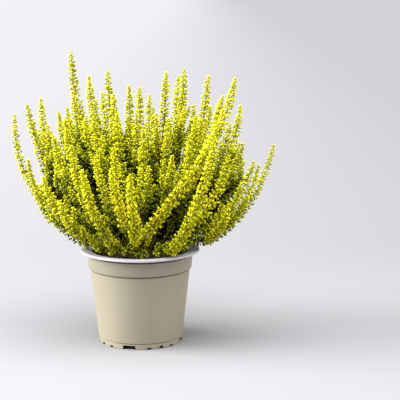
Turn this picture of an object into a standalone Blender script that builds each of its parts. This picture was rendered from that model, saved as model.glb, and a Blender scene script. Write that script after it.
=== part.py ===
"""Potted heather with lime-yellow foliage in a two-tone nursery pot.

The pot stands on z = 0 with its axis on the Z axis, and -Y is the front. Units are metres.
Every stem is one solid: a woody foot that stands in a plain hole in the peat, and one to three
leafy shoots whose paired scale leaves are raised from the shoot by a formula.
"""

import math
import random
from typing import NamedTuple

import bpy
import bmesh
import numpy as np
from mathutils import Matrix, Vector, noise

MM = 0.001
ROUND_STEPS = 32
MERGE = 0.00001
CLEAR = 0.3 * MM

# The pot, a thermoformed 12 cm nursery pot
POT_HEIGHT = 95.0 * MM
LIP_RADIUS = 60.0 * MM
LIP_INNER_RADIUS = 53.5 * MM
LIP_SKIRT = 2.4 * MM
COLLAR_TOP_RADIUS = 53.1 * MM
COLLAR_FOOT_RADIUS = 52.1 * MM
COLLAR_FOOT_DROP = 18.0 * MM
LEDGE_DROP = 20.2 * MM
BODY_TOP_RADIUS = 50.2 * MM
BODY_FOOT_RADIUS = 42.8 * MM
FOOT_BAND = 6.3 * MM
FOOT_INSET = 0.5 * MM
BASE_RADIUS = 42.0 * MM
WALL = 0.9 * MM

# The pot's underside: a foot ring, a raised drainage channel and a flat middle that stands too
FOOT_RING = 2.2 * MM
CHANNEL_HEIGHT = 4.6 * MM
MIDDLE_RADIUS = 29.0 * MM
DRAIN_HOLES = 8
DRAIN_HOLE_RADIUS = 2.5 * MM

# Notches through the foot ring, repeated at every quarter turn from the dome nearest the front
NOTCH_TURNS = 4
DOME_ANGLE = math.radians(31.4)
DOME_WIDTH = 4.3 * MM
DOME_HEIGHT = 2.7 * MM
SLIT_OFFSET = math.radians(17.5)
SLIT_WIDTH = 4.5 * MM
SLIT_HEIGHT = 1.5 * MM
GATE_OFFSET = math.radians(-45.0)
GATE_WIDTH = 16.3 * MM
GATE_TOP_WIDTH = 11.4 * MM
GATE_HEIGHT = 4.0 * MM
NOTCH_DEPTH = 5.0 * MM

# The peat
PEAT_TOP = 88.0 * MM
PEAT_MOUND = 1.6 * MM
PEAT_LUMP = 1.1 * MM
PEAT_LUMP_SIZE = 9.0 * MM
PEAT_RING = 13.0 * MM

# The stems and their leafy shoots
FOOT_DEPTH = 12.0 * MM
FOOT_SPREAD = 0.25
BENT_FOOT_SPREAD = 0.5
FOOT_PITCH = 7.5 * MM
FOOT_ROUNDS = 300
FOOT_STEP = 0.3
CROWN_RADIUS = 36.0 * MM
CROWN_RISE = 4.0 * MM
OUTWARD_HANDLE = (0.48, 0.48, 0.18)
UPWARD_HANDLE = (0.12, 0.12, 0.43)
WOOD_RADIUS = 1.15 * MM
TWIG_RADIUS = 0.95 * MM
BARE_FOOT = 9.0 * MM
BARE_TWIG = 7.0 * MM
LEAF_RAMP = 9.0 * MM
TIP_RADIUS = 1.8 * MM
SHOOT_RADIUS = 6.3 * MM
TAPER_LENGTH = 36.0 * MM
LEAF_PITCH = 1.42
LEAF_PITCH_MIN = 3.2 * MM
VALLEY = 0.42
LEAF_LIFT = 0.62
LEAF_SHRINK = 0.16
LEAF_SWAY = 0.14
CORNERS = 4
SHOOT_GAP = 0.9 * MM
PATH_POINTS = 40
ROOM_ROUNDS = 120
ROOM_STEP = 0.9
PAIR_ROUNDS = 10
NEAR_REACH = 15.5 * MM
TIP_GIVE = 0.25
LIP_KEEP_OUT = 47.0 * MM
SEED = 12


class Shoot(NamedTuple):
    """A shoot's tip, its fork as a share of the stem's length, and its handles where it bends specially."""

    tip: tuple[float, float, float]
    fork: float = 0.0
    handles: tuple = ()


# Every stem: its leading shoot, then its side shoots. Tips are millimetres to the right of the pot's
# axis, behind it and above the floor.
STEMS = (
    (Shoot((-123, -5, 230), handles=((-84, -14, 113), (-126, -10, 166))), Shoot((-106, -40, 190), 0.30)),
    (Shoot((-113, 15, 238)), Shoot((-102, 36, 242), 0.50), Shoot((-92, 8, 218), 0.42)),
    (Shoot((-86, 54, 227)), Shoot((-106, 62, 190), 0.35)),
    (Shoot((-72, -18, 227)), Shoot((-80, -47, 214), 0.35), Shoot((-84, -4, 206), 0.48)),
    (Shoot((-69, 22, 290)), Shoot((-65, -2, 253), 0.40), Shoot((-76, 44, 232), 0.45)),
    (Shoot((-54, 54, 264)), Shoot((-45, 24, 242), 0.42), Shoot((-66, 76, 232), 0.40)),
    (Shoot((-33, 32, 270)), Shoot((-25, -2, 250), 0.36), Shoot((-42, 78, 245), 0.30)),
    (Shoot((-20, -34, 234)), Shoot((-44, -30, 236), 0.38), Shoot((-54, -8, 224), 0.45)),
    (Shoot((-13, 60, 254)), Shoot((-12, 98, 212), 0.35), Shoot((-26, 50, 230), 0.50)),
    (Shoot((0, 16, 255)), Shoot((-2, -18, 233), 0.42), Shoot((-12, 8, 228), 0.52)),
    (Shoot((7, 84, 242)), Shoot((24, 108, 206), 0.35)),
    (Shoot((26, 40, 269)), Shoot((43, 72, 237), 0.35), Shoot((12, 44, 232), 0.48)),
    (Shoot((39, 15, 267)), Shoot((45, -11, 275), 0.45), Shoot((17, -6, 231), 0.38)),
    (Shoot((69, 30, 266)), Shoot((71, 66, 232), 0.36), Shoot((54, 34, 236), 0.45)),
    (Shoot((57, -34, 232)), Shoot((51, -62, 215), 0.38), Shoot((62, -8, 226), 0.44)),
    (
        Shoot((94, -45, 269), handles=((-2, -58, 128), (78, -78, 180))),
        Shoot((80, -22, 247), 0.62),
    ),
    (Shoot((84, 66, 242)), Shoot((98, 80, 190), 0.35)),
    (Shoot((90, 0, 221)), Shoot((102, 38, 235), 0.35), Shoot((104, 8, 200), 0.44)),
    (Shoot((134, 0, 199), handles=((84, -6, 103), (118, -4, 134))), Shoot((121, 36, 174), 0.32)),
    (Shoot((113, -26, 186)), Shoot((99, -52, 166), 0.32)),
    (Shoot((75, -80, 215), handles=((42, -62, 100), (66, -95, 165))), Shoot((88, -56, 196), 0.42)),
    (Shoot((108, -20, 150)), Shoot((88, -64, 146), 0.32)),
    (Shoot((-4, -100, 184)), Shoot((-22, -90, 188), 0.40)),
    (Shoot((-21, -68, 205)), Shoot((-38, -74, 197), 0.38)),
    (Shoot((-50, -82, 186)), Shoot((-62, -60, 206), 0.38)),
    (Shoot((-90, -58, 176)), Shoot((-72, -76, 156), 0.34)),
    (Shoot((6, -46, 220)), Shoot((12, -58, 186), 0.40)),
    (Shoot((30, -28, 229)), Shoot((34, -58, 196), 0.36)),
    (Shoot((-64, 96, 212)), Shoot((-90, 84, 178), 0.34)),
    (Shoot((-34, 112, 200)), Shoot((-2, 122, 172), 0.34)),
    (Shoot((58, 102, 208)), Shoot((42, 116, 168), 0.34)),
    (Shoot((-97, -22, 163)), Shoot((-88, -48, 146), 0.36)),
    (Shoot((104, 14, 172)), Shoot((92, 32, 190), 0.35)),
    (Shoot((104, 56, 176)), Shoot((96, 92, 176), 0.35)),
    (Shoot((-100, 58, 168)), Shoot((-94, 4, 186), 0.38)),
)


def clear_scene() -> None:
    """Remove every object that the file opened with."""
    for obj in list(bpy.data.objects):
        bpy.data.objects.remove(obj, do_unlink=True)


def make_collection(name: str) -> bpy.types.Collection:
    """Add a collection to the scene and return it."""
    collection = bpy.data.collections.new(name)
    bpy.context.scene.collection.children.link(collection)
    return collection


def make_material(name: str, colour: tuple, roughness: float) -> bpy.types.Material:
    """Return a Principled material of one linear colour."""
    material = bpy.data.materials.new(name)
    material.use_nodes = True
    shader = material.node_tree.nodes["Principled BSDF"]
    shader.inputs["Base Color"].default_value = (*colour, 1.0)
    shader.inputs["Roughness"].default_value = roughness
    shader.inputs["Metallic"].default_value = 0.0
    return material


def add_mesh(name: str, mesh: bpy.types.Mesh, collection: bpy.types.Collection) -> bpy.types.Object:
    """Link a new object for the mesh into the collection."""
    obj = bpy.data.objects.new(name, mesh)
    collection.objects.link(obj)
    return obj


def turned(name: str, profile: list, steps: int, collection: bpy.types.Collection) -> bpy.types.Object:
    """Turn a profile of (radius, height) points round the Z axis with a Screw modifier."""
    mesh = bpy.data.meshes.new(name)
    points = [(radius, 0.0, height) for radius, height in profile]
    edges = [(index, index + 1) for index in range(len(points) - 1)]
    mesh.from_pydata(points, edges, [])
    obj = add_mesh(name, mesh, collection)
    screw = obj.modifiers.new("turn", "SCREW")
    screw.steps = steps
    screw.render_steps = steps
    screw.use_merge_vertices = True
    screw.merge_threshold = MERGE
    return obj


def apply_modifiers(obj: bpy.types.Object) -> None:
    """Replace an object's mesh with the one that its modifiers give, and drop the modifiers."""
    depsgraph = bpy.context.evaluated_depsgraph_get()
    mesh = bpy.data.meshes.new_from_object(obj.evaluated_get(depsgraph))
    obj.modifiers.clear()
    obj.data = mesh


def cut(obj: bpy.types.Object, name: str, cutters: bpy.types.Collection) -> None:
    """Subtract a collection of cutters from an object."""
    boolean = obj.modifiers.new(name, "BOOLEAN")
    boolean.operation = "DIFFERENCE"
    boolean.operand_type = "COLLECTION"
    boolean.collection = cutters
    boolean.solver = "EXACT"


def add_cutter(name: str, shape: bmesh.types.BMesh, cutters: bpy.types.Collection) -> bpy.types.Object:
    """Store a cutter's shape as an object that is drawn as a wire and never rendered."""
    mesh = bpy.data.meshes.new(name)
    shape.to_mesh(mesh)
    shape.free()
    cutter = add_mesh(name, mesh, cutters)
    cutter.hide_render = True
    cutter.display_type = "WIRE"
    return cutter


def body_radius(height: float) -> float:
    """Return the outer radius of the pot's tapered body at a height."""
    top = POT_HEIGHT - LEDGE_DROP
    share = (height - FOOT_BAND) / (top - FOOT_BAND)
    return BODY_FOOT_RADIUS + share * (BODY_TOP_RADIUS - BODY_FOOT_RADIUS)


def pot_profile() -> list:
    """Return the pot's section, from the middle of its floor up inside, over the lip and down outside."""
    inside = [
        (0.0, WALL),
        (MIDDLE_RADIUS, WALL),
        (MIDDLE_RADIUS + WALL, CHANNEL_HEIGHT + WALL),
        (body_radius(CHANNEL_HEIGHT) - 2 * WALL, CHANNEL_HEIGHT + WALL),
        (body_radius(FOOT_BAND + WALL) - WALL, FOOT_BAND + 2 * WALL),
        (BODY_TOP_RADIUS - WALL, POT_HEIGHT - LEDGE_DROP),
        (COLLAR_FOOT_RADIUS - WALL, POT_HEIGHT - COLLAR_FOOT_DROP),
        (COLLAR_TOP_RADIUS - WALL, POT_HEIGHT - 2 * WALL),
        (LIP_INNER_RADIUS, POT_HEIGHT),
    ]
    lip = [
        (LIP_RADIUS - WALL, POT_HEIGHT),
        (LIP_RADIUS - 0.2 * WALL, POT_HEIGHT - 0.4 * WALL),
        (LIP_RADIUS, POT_HEIGHT - LIP_SKIRT),
        (LIP_RADIUS - WALL, POT_HEIGHT - LIP_SKIRT),
        (LIP_RADIUS - 1.3 * WALL, POT_HEIGHT - WALL),
        (COLLAR_TOP_RADIUS, POT_HEIGHT - WALL),
    ]
    outside = [
        (COLLAR_FOOT_RADIUS, POT_HEIGHT - COLLAR_FOOT_DROP),
        (BODY_TOP_RADIUS, POT_HEIGHT - LEDGE_DROP),
        (BODY_FOOT_RADIUS, FOOT_BAND),
        (BODY_FOOT_RADIUS - FOOT_INSET, FOOT_BAND - FOOT_INSET),
        (BASE_RADIUS, 0.0),
        (BASE_RADIUS - FOOT_RING, 0.0),
        (BASE_RADIUS - FOOT_RING, CHANNEL_HEIGHT),
        (MIDDLE_RADIUS + 2 * WALL, CHANNEL_HEIGHT),
        (MIDDLE_RADIUS + WALL, 0.0),
        (0.0, 0.0),
    ]
    return inside + lip + outside


def place_in_foot(shape: bmesh.types.BMesh, angle: float) -> bmesh.types.BMesh:
    """Move a shape made at the origin, with Y across the wall, into the foot ring at an angle."""
    radius = BASE_RADIUS - FOOT_RING / 2
    place = Matrix.Rotation(angle, 4, "Z") @ Matrix.Translation((0.0, -radius, 0.0))
    bmesh.ops.transform(shape, matrix=place, verts=shape.verts[:])
    return shape


def notch_shape(width: float, top_width: float, height: float, angle: float) -> bmesh.types.BMesh:
    """Return a wedge that cuts a notch through the foot ring at an angle from the front."""
    shape = bmesh.new()
    bmesh.ops.create_cube(shape, size=2.0)
    for vert in shape.verts:
        vert.co.x *= (top_width if vert.co.z > 0 else width) / 2
        vert.co.y *= NOTCH_DEPTH / 2
        vert.co.z *= height
    return place_in_foot(shape, angle)


def dome_shape(angle: float) -> bmesh.types.BMesh:
    """Return a lying cylinder that cuts a round-topped notch through the foot ring."""
    shape = bmesh.new()
    bmesh.ops.create_cone(
        shape,
        cap_ends=True,
        segments=12,
        radius1=DOME_WIDTH / 2,
        radius2=DOME_WIDTH / 2,
        depth=NOTCH_DEPTH,
    )
    lie = Matrix.Translation((0.0, 0.0, DOME_HEIGHT - DOME_WIDTH / 2)) @ Matrix.Rotation(math.pi / 2, 4, "X")
    bmesh.ops.transform(shape, matrix=lie, verts=shape.verts[:])
    return place_in_foot(shape, angle)


def hole_shape(centre: tuple, radius: float, low: float, high: float, sides: int) -> bmesh.types.BMesh:
    """Return an upright cylinder that cuts a plain hole between two heights."""
    shape = bmesh.new()
    bmesh.ops.create_cone(
        shape, cap_ends=True, segments=sides, radius1=radius, radius2=radius, depth=high - low
    )
    bmesh.ops.translate(shape, verts=shape.verts[:], vec=(centre[0], centre[1], (low + high) / 2))
    return shape


def make_pot(parts: bpy.types.Collection, cutters: bpy.types.Collection) -> None:
    """Build the pot with the notches in its foot ring and the holes in its drainage channel."""
    pot = turned("pot", pot_profile(), ROUND_STEPS, parts)
    pot.data.materials.append(make_material("taupe plastic", (0.31, 0.27, 0.20), 0.45))
    for turn in range(NOTCH_TURNS):
        dome = DOME_ANGLE + turn * math.tau / NOTCH_TURNS
        gate = dome + GATE_OFFSET
        add_cutter(f"dome_{turn}", dome_shape(dome), cutters)
        add_cutter(f"gate_{turn}", notch_shape(GATE_WIDTH, GATE_TOP_WIDTH, GATE_HEIGHT, gate), cutters)
        for side in (-1, 1):
            slit = dome + side * SLIT_OFFSET
            shape = notch_shape(SLIT_WIDTH, SLIT_WIDTH, SLIT_HEIGHT, slit)
            add_cutter(f"slit_{turn}_{side + 1}", shape, cutters)
    ring = (MIDDLE_RADIUS + 2 * WALL + BASE_RADIUS - FOOT_RING) / 2
    for index in range(DRAIN_HOLES):
        angle = DOME_ANGLE + (index + 0.5) * math.tau / DRAIN_HOLES
        centre = (ring * math.sin(angle), -ring * math.cos(angle))
        shape = hole_shape(centre, DRAIN_HOLE_RADIUS, CHANNEL_HEIGHT - WALL, CHANNEL_HEIGHT + 2 * WALL, 8)
        add_cutter(f"drain_{index}", shape, cutters)
    cut(pot, "drainage", cutters)


def peat_profile() -> list:
    """Return the peat's section, from the middle of its top out and down the pot's wall to the floor."""
    gap = WALL + CLEAR
    rings = [(PEAT_RING * index, PEAT_TOP) for index in range(4)]
    side = [
        (COLLAR_FOOT_RADIUS - gap + 0.4 * MM, PEAT_TOP),
        (COLLAR_FOOT_RADIUS - gap, POT_HEIGHT - COLLAR_FOOT_DROP + CLEAR),
        (BODY_TOP_RADIUS - gap, POT_HEIGHT - LEDGE_DROP + CLEAR),
        (body_radius(FOOT_BAND + WALL) - gap, FOOT_BAND + 2 * WALL + CLEAR),
        (body_radius(CHANNEL_HEIGHT) - 2 * WALL - CLEAR, CHANNEL_HEIGHT + gap),
        (MIDDLE_RADIUS + WALL - CLEAR, CHANNEL_HEIGHT + gap),
        (MIDDLE_RADIUS - CLEAR, gap),
        (0.0, gap),
    ]
    return rings + side


def make_peat(feet: np.ndarray, parts: bpy.types.Collection, cutters: bpy.types.Collection) -> None:
    """Build the peat with a lumpy top and a plain hole for the foot of every stem."""
    peat = turned("peat", peat_profile(), ROUND_STEPS, parts)
    apply_modifiers(peat)
    for vert in peat.data.vertices:
        if vert.co.z < PEAT_TOP - MERGE:
            continue
        reach = math.hypot(vert.co.x, vert.co.y)
        lump = noise.noise(Vector((vert.co.x, vert.co.y, 0.0)) / PEAT_LUMP_SIZE)
        mound = PEAT_MOUND * (1.0 - (reach / COLLAR_FOOT_RADIUS) ** 2)
        vert.co.z += mound + PEAT_LUMP * lump
    peat.data.materials.append(make_material("peat", (0.035, 0.022, 0.016), 0.95))
    top = PEAT_TOP + 2 * PEAT_MOUND + 2 * PEAT_LUMP
    low = PEAT_TOP - FOOT_DEPTH - CLEAR
    for index, foot in enumerate(feet):
        shape = hole_shape((foot[0], foot[1]), WOOD_RADIUS + 1.5 * CLEAR, low, top, 6)
        add_cutter(f"hole_{index}", shape, cutters)
    cut(peat, "stem holes", cutters)


def spread_feet() -> np.ndarray:
    """Place the stems' feet in the crown, below their leading shoots, and push them a pitch apart."""
    feet = np.array([stem[0].tip[:2] for stem in STEMS]) * MM * FOOT_SPREAD
    for stem, foot in zip(STEMS, feet):
        if stem[0].handles:
            foot[:] = np.array(stem[0].handles[0][:2]) * MM * BENT_FOOT_SPREAD
    for _ in range(FOOT_ROUNDS):
        away = feet[:, None] - feet[None]
        gap = np.linalg.norm(away, axis=2) + np.eye(len(feet))
        push = np.clip(FOOT_PITCH - gap, 0.0, None) * (1.0 - np.eye(len(feet)))
        feet += (away / gap[..., None] * push[..., None]).sum(axis=1) * FOOT_STEP
        reach = np.linalg.norm(feet, axis=1, keepdims=True)
        feet *= np.minimum(1.0, CROWN_RADIUS / np.maximum(reach, MERGE))
    return feet


def bezier(start, handle_a, handle_b, end, count: int) -> np.ndarray:
    """Return points along a cubic curve."""
    t = np.linspace(0.0, 1.0, count)[:, None]
    s = 1.0 - t
    return s**3 * start + 3 * s * s * t * handle_a + 3 * s * t * t * handle_b + t**3 * end


def arch(start: np.ndarray, shoot: Shoot) -> np.ndarray:
    """Return a shoot's path: it leaves outwards and turns up towards its tip."""
    tip = np.array(shoot.tip) * MM
    if shoot.handles:
        handle_a, handle_b = (np.array(handle) * MM for handle in shoot.handles)
    else:
        way = tip - start
        handle_a = start + way * OUTWARD_HANDLE
        handle_b = tip - way * UPWARD_HANDLE
    return bezier(start, handle_a, handle_b, tip, PATH_POINTS)


def distances(path: np.ndarray) -> np.ndarray:
    """Return the distance along a path of each of its points."""
    steps = np.linalg.norm(np.diff(path, axis=0), axis=1)
    return np.concatenate(([0.0], np.cumsum(steps)))


def shoot_radius(from_base: np.ndarray, from_tip: np.ndarray, wood: float, bare: float) -> np.ndarray:
    """Return how far the leaves reach from the middle of a shoot: none at its foot, slim at its tip."""
    leafy = TIP_RADIUS + (SHOOT_RADIUS - TIP_RADIUS) * (1.0 - np.exp(-from_tip / TAPER_LENGTH))
    grown = np.clip((from_base - bare) / LEAF_RAMP, 0.0, 1.0)
    return wood + (leafy - wood) * grown


def lay_paths(feet: np.ndarray) -> list:
    """Return every shoot's path as [stem, shoot, points], side shoots after the one that they leave."""
    paths = []
    for number, (stem, foot) in enumerate(zip(STEMS, feet)):
        start = np.array((foot[0], foot[1], PEAT_TOP + CROWN_RISE))
        main = arch(start, stem[0])
        paths.append([number, stem[0], main])
        for side in stem[1:]:
            start = main[round(side.fork * (PATH_POINTS - 1))]
            paths.append([number, side, arch(start, side)])
    return paths


def shoot_radii(points: np.ndarray, shoot: Shoot) -> np.ndarray:
    """Return the reach of the leaves at each point of a shoot's path."""
    along = distances(points)
    wood, bare = (TWIG_RADIUS, BARE_TWIG) if shoot.fork > 0.0 else (WOOD_RADIUS, BARE_FOOT)
    return shoot_radius(along, along[-1] - along, wood, bare)


def near_pairs(points: np.ndarray, shoot_of: np.ndarray, stem_of: np.ndarray, at_fork: np.ndarray):
    """Return the pairs of path points that may touch, leaving out those beside a stem's own fork."""
    square = (points**2).sum(axis=1)
    gap = square[:, None] + square[None] - 2.0 * points @ points.T
    close = np.triu(gap < NEAR_REACH**2)
    close &= shoot_of[:, None] != shoot_of[None]
    close &= ~((stem_of[:, None] == stem_of[None]) & (at_fork[:, None] | at_fork[None]))
    return np.nonzero(close)


def pushes(points: np.ndarray, radii: np.ndarray, pairs: tuple) -> np.ndarray:
    """Return how far each point has to move to clear the points that it is paired with."""
    one, two = pairs
    away = points[one] - points[two]
    gap = np.maximum(np.linalg.norm(away, axis=1), MERGE)
    lack = np.clip(radii[one] + radii[two] + SHOOT_GAP - gap, 0.0, None)
    step = away * (0.5 * lack / gap)[:, None]
    total = np.zeros_like(points)
    for axis in range(3):
        total[:, axis] += np.bincount(one, step[:, axis], len(points))
        total[:, axis] -= np.bincount(two, step[:, axis], len(points))
    hits = np.bincount(one, lack > 0, len(points)) + np.bincount(two, lack > 0, len(points))
    return 2.0 * total / np.maximum(1.0, hits)[:, None]


def make_room(paths: list) -> None:
    """Push the shoots' paths apart until their leaves clear each other and the lip of the pot."""
    count = len(paths)
    points = np.array([path[2] for path in paths])
    stem_of = np.repeat([path[0] for path in paths], PATH_POINTS)
    shoot_of = np.repeat(np.arange(count), PATH_POINTS)
    place = np.linspace(0.0, 1.0, PATH_POINTS)
    give = np.sin(np.clip(place * 1.12, 0.0, 1.0) * math.pi) ** 0.5
    give[0] = 0.0
    give[-1] = TIP_GIVE
    leading = {}
    for index, path in enumerate(paths):
        leading.setdefault(path[0], index)
    for step in range(ROOM_ROUNDS):
        radii = np.array([shoot_radii(line, path[1]) for line, path in zip(points, paths)])
        if step % PAIR_ROUNDS == 0:
            fork = np.array([path[1].fork > 0.0 for path in paths])
            at_fork = fork[:, None] & (np.array([distances(line) for line in points]) < BARE_TWIG + LEAF_RAMP)
            pairs = near_pairs(points.reshape(-1, 3), shoot_of, stem_of, at_fork.reshape(-1))
        push = pushes(points.reshape(-1, 3), radii.reshape(-1), pairs).reshape(points.shape)
        reach = np.hypot(points[..., 0], points[..., 1])
        floor = POT_HEIGHT + radii + SHOOT_GAP
        push[..., 2] += np.clip(floor - points[..., 2], 0.0, None) * (reach > LIP_KEEP_OUT)
        for _ in range(3):
            push[:, 1:-1] = 0.25 * push[:, :-2] + 0.5 * push[:, 1:-1] + 0.25 * push[:, 2:]
        points += ROOM_STEP * push * give[:, None]
        for index, (stem, shoot, _) in enumerate(paths):
            if shoot.fork > 0.0:
                joint = points[leading[stem]][round(shoot.fork * (PATH_POINTS - 1))]
                points[index] += (joint - points[index, 0]) * (1.0 - place[:, None]) ** 3
    for path, moved in zip(paths, points):
        path[2] = moved


def bury(path: np.ndarray) -> np.ndarray:
    """Return a leading shoot's path with its straight foot below the peat's top added."""
    low = path[0].copy()
    low[2] = PEAT_TOP - FOOT_DEPTH
    return np.vstack((low, path))


def at_distance(path: np.ndarray, along: np.ndarray, where: float) -> np.ndarray:
    """Return the point of a path at a distance along it."""
    return np.array([np.interp(where, along, path[:, axis]) for axis in range(3)])


def leaf_pitch(radius: float) -> float:
    """Return the distance from one pair of leaves to the next, which is shorter on a slimmer shoot."""
    return max(LEAF_PITCH * radius, LEAF_PITCH_MIN)


def ring_places(length: float, wood: float, bare: float) -> list:
    """Return the distances of the leaf pairs along a shoot, from its lowest pair to its tip."""
    places = []
    where = length - LEAF_PITCH_MIN
    while where > bare:
        places.append(where)
        where -= leaf_pitch(float(shoot_radius(where, length - where, wood, bare)))
    return places[::-1]


def spokes(path: np.ndarray, along: np.ndarray, where: float, across: np.ndarray) -> tuple:
    """Return the directions ahead, across and sideways at a distance along a path, without twist."""
    after = at_distance(path, along, min(where + MM, along[-1]))
    ahead = after - at_distance(path, along, max(where - MM, 0.0))
    ahead /= np.linalg.norm(ahead)
    across = across - ahead * across.dot(ahead)
    across /= np.linalg.norm(across)
    return ahead, across, np.cross(ahead, across)


def leaf_rings(shape: bmesh.types.BMesh, path: np.ndarray, side: bool, draw: random.Random) -> list:
    """Add the rings of a shoot: plain ones on its bare foot, then a pair of raised leaves on each."""
    wood, bare = (TWIG_RADIUS, BARE_TWIG) if side else (WOOD_RADIUS, BARE_FOOT + FOOT_DEPTH)
    along = distances(path)
    length = along[-1]
    stalk = [0.0, bare / 2] if side else [0.0, FOOT_DEPTH, FOOT_DEPTH + CROWN_RISE]
    across = np.array((1.0, 0.0, 0.0))
    turn = draw.uniform(0.0, math.tau) if side else 0.0
    rings = []
    for index, where in enumerate(stalk + ring_places(length, wood, bare)):
        ahead, across, sideways = spokes(path, along, where, across)
        radius = float(shoot_radius(where, length - where, wood, bare)) if index >= len(stalk) else wood
        lift = LEAF_LIFT * min(leaf_pitch(radius), length - where)
        ring = []
        for corner in range(CORNERS):
            angle = turn + corner * math.tau / CORNERS
            point = at_distance(path, along, where)
            reach = wood
            if index >= len(stalk) and (corner + index) % 2 == 0:
                reach = max(radius * (1.0 - LEAF_SHRINK * draw.random()), wood)
                angle += draw.uniform(-LEAF_SWAY, LEAF_SWAY)
                point += ahead * lift
            elif index >= len(stalk):
                reach = max(VALLEY * radius, wood)
            spoke = across * math.cos(angle) + sideways * math.sin(angle)
            ring.append(shape.verts.new(point + spoke * reach))
        rings.append(ring)
    return rings


def shoot_mesh(name: str, path: np.ndarray, side: bool, draw: random.Random) -> bpy.types.Mesh:
    """Loft a shoot along its path. Folds run between the leaves, so every leaf is a point of its own."""
    shape = bmesh.new()
    rings = leaf_rings(shape, path, side, draw)
    shape.faces.new(rings[0][::-1])
    for index, (low, high) in enumerate(zip(rings, rings[1:])):
        for corner in range(CORNERS):
            after = (corner + 1) % CORNERS
            if (corner + index) % 2 == 0:
                shape.faces.new((low[corner], low[after], high[corner]))
                shape.faces.new((low[after], high[after], high[corner]))
            else:
                shape.faces.new((low[corner], low[after], high[after]))
                shape.faces.new((low[corner], high[after], high[corner]))
    apex = shape.verts.new(path[-1])
    for corner in range(CORNERS):
        shape.faces.new((rings[-1][corner], rings[-1][(corner + 1) % CORNERS], apex))
    mesh = bpy.data.meshes.new(name)
    shape.to_mesh(mesh)
    shape.free()
    return mesh


def keep_main_body(mesh: bpy.types.Mesh) -> None:
    """Drop loose scraps and the walls of sealed hollows, and keep the body with the most corners."""
    shape = bmesh.new()
    shape.from_mesh(mesh)
    unseen = set(shape.verts)
    bodies = []
    while unseen:
        body = {unseen.pop()}
        edge_of_body = list(body)
        while edge_of_body:
            vert = edge_of_body.pop()
            beside = {edge.other_vert(vert) for edge in vert.link_edges} & unseen
            unseen -= beside
            body |= beside
            edge_of_body.extend(beside)
        bodies.append(body)
    main_body = max(bodies, key=len)
    scraps = [vert for vert in shape.verts if vert not in main_body]
    bmesh.ops.delete(shape, geom=scraps, context="VERTS")
    shape.to_mesh(mesh)
    shape.free()


def fuse(obj: bpy.types.Object, others: bpy.types.Collection) -> None:
    """Join a collection of solids to an object with one Boolean union, then remove them."""
    union = obj.modifiers.new("fuse", "BOOLEAN")
    union.operation = "UNION"
    union.operand_type = "COLLECTION"
    union.collection = others
    union.solver = "MANIFOLD"
    apply_modifiers(obj)
    keep_main_body(obj.data)
    for other in list(others.objects):
        bpy.data.objects.remove(other, do_unlink=True)
    bpy.data.collections.remove(others)


def make_stems(paths: list, parts: bpy.types.Collection) -> None:
    """Build every stem with its side shoots fused to it."""
    foliage = make_material("lime foliage", (0.50, 0.52, 0.02), 0.55)
    draw = random.Random(SEED)
    for number in range(len(STEMS)):
        shoots = [path for path in paths if path[0] == number]
        name = f"stem_{number + 1:02d}"
        stem = add_mesh(name, shoot_mesh(name, bury(shoots[0][2]), False, draw), parts)
        if len(shoots) > 1:
            sides = make_collection(f"{name}_sides")
            for index, (_, _, path) in enumerate(shoots[1:]):
                side_name = f"{name}_side_{index}"
                add_mesh(side_name, shoot_mesh(side_name, path, True, draw), sides)
            fuse(stem, sides)
        stem.data.materials.append(foliage)


def main() -> None:
    """Build the potted heather."""
    clear_scene()
    parts = make_collection("potted heather")
    pot_cutters = make_collection("drainage cutters")
    hole_cutters = make_collection("stem hole cutters")
    feet = spread_feet()
    paths = lay_paths(feet)
    make_room(paths)
    make_pot(parts, pot_cutters)
    make_peat(feet, parts, hole_cutters)
    make_stems(paths, parts)


main()
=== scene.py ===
"""Looks of the potted heather: gold foliage on woody stems, peat and a two-tone nursery pot.

The pot stands on z = 0 with its axis on the Z axis, and -Y is the front. Units are metres.
"""

import logging
import math
from collections.abc import Callable
from dataclasses import dataclass
from enum import Enum, IntEnum
from typing import Any, NamedTuple

import bmesh
import bpy
import numpy as np
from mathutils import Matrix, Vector, noise


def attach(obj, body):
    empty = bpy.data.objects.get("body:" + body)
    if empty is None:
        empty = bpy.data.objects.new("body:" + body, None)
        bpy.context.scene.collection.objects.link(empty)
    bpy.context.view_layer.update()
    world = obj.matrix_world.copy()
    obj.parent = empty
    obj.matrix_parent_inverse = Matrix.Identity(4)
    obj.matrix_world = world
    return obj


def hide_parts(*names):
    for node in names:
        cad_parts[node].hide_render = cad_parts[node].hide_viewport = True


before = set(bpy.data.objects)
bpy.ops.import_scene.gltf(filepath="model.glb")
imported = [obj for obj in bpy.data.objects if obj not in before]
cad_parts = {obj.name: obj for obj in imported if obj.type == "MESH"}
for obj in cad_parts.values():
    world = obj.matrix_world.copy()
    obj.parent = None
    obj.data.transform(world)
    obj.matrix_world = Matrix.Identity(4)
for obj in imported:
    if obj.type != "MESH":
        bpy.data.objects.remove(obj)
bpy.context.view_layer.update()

LOG = logging.getLogger("potted_heather")
MM = 0.001
MERGE = 0.00001
QUARTER_TURN = math.pi / 2

# Sockets of a Mix node that mixes colours
SHARE, FIRST, SECOND, MIXED = 0, 6, 7, 2


class Shoot(NamedTuple):
    """A shoot's tip, its fork as a share of the stem's length, and its handles where it bends specially."""

    x: float
    y: float
    z: float
    fork: float = 0.0
    handles: tuple = ()


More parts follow.
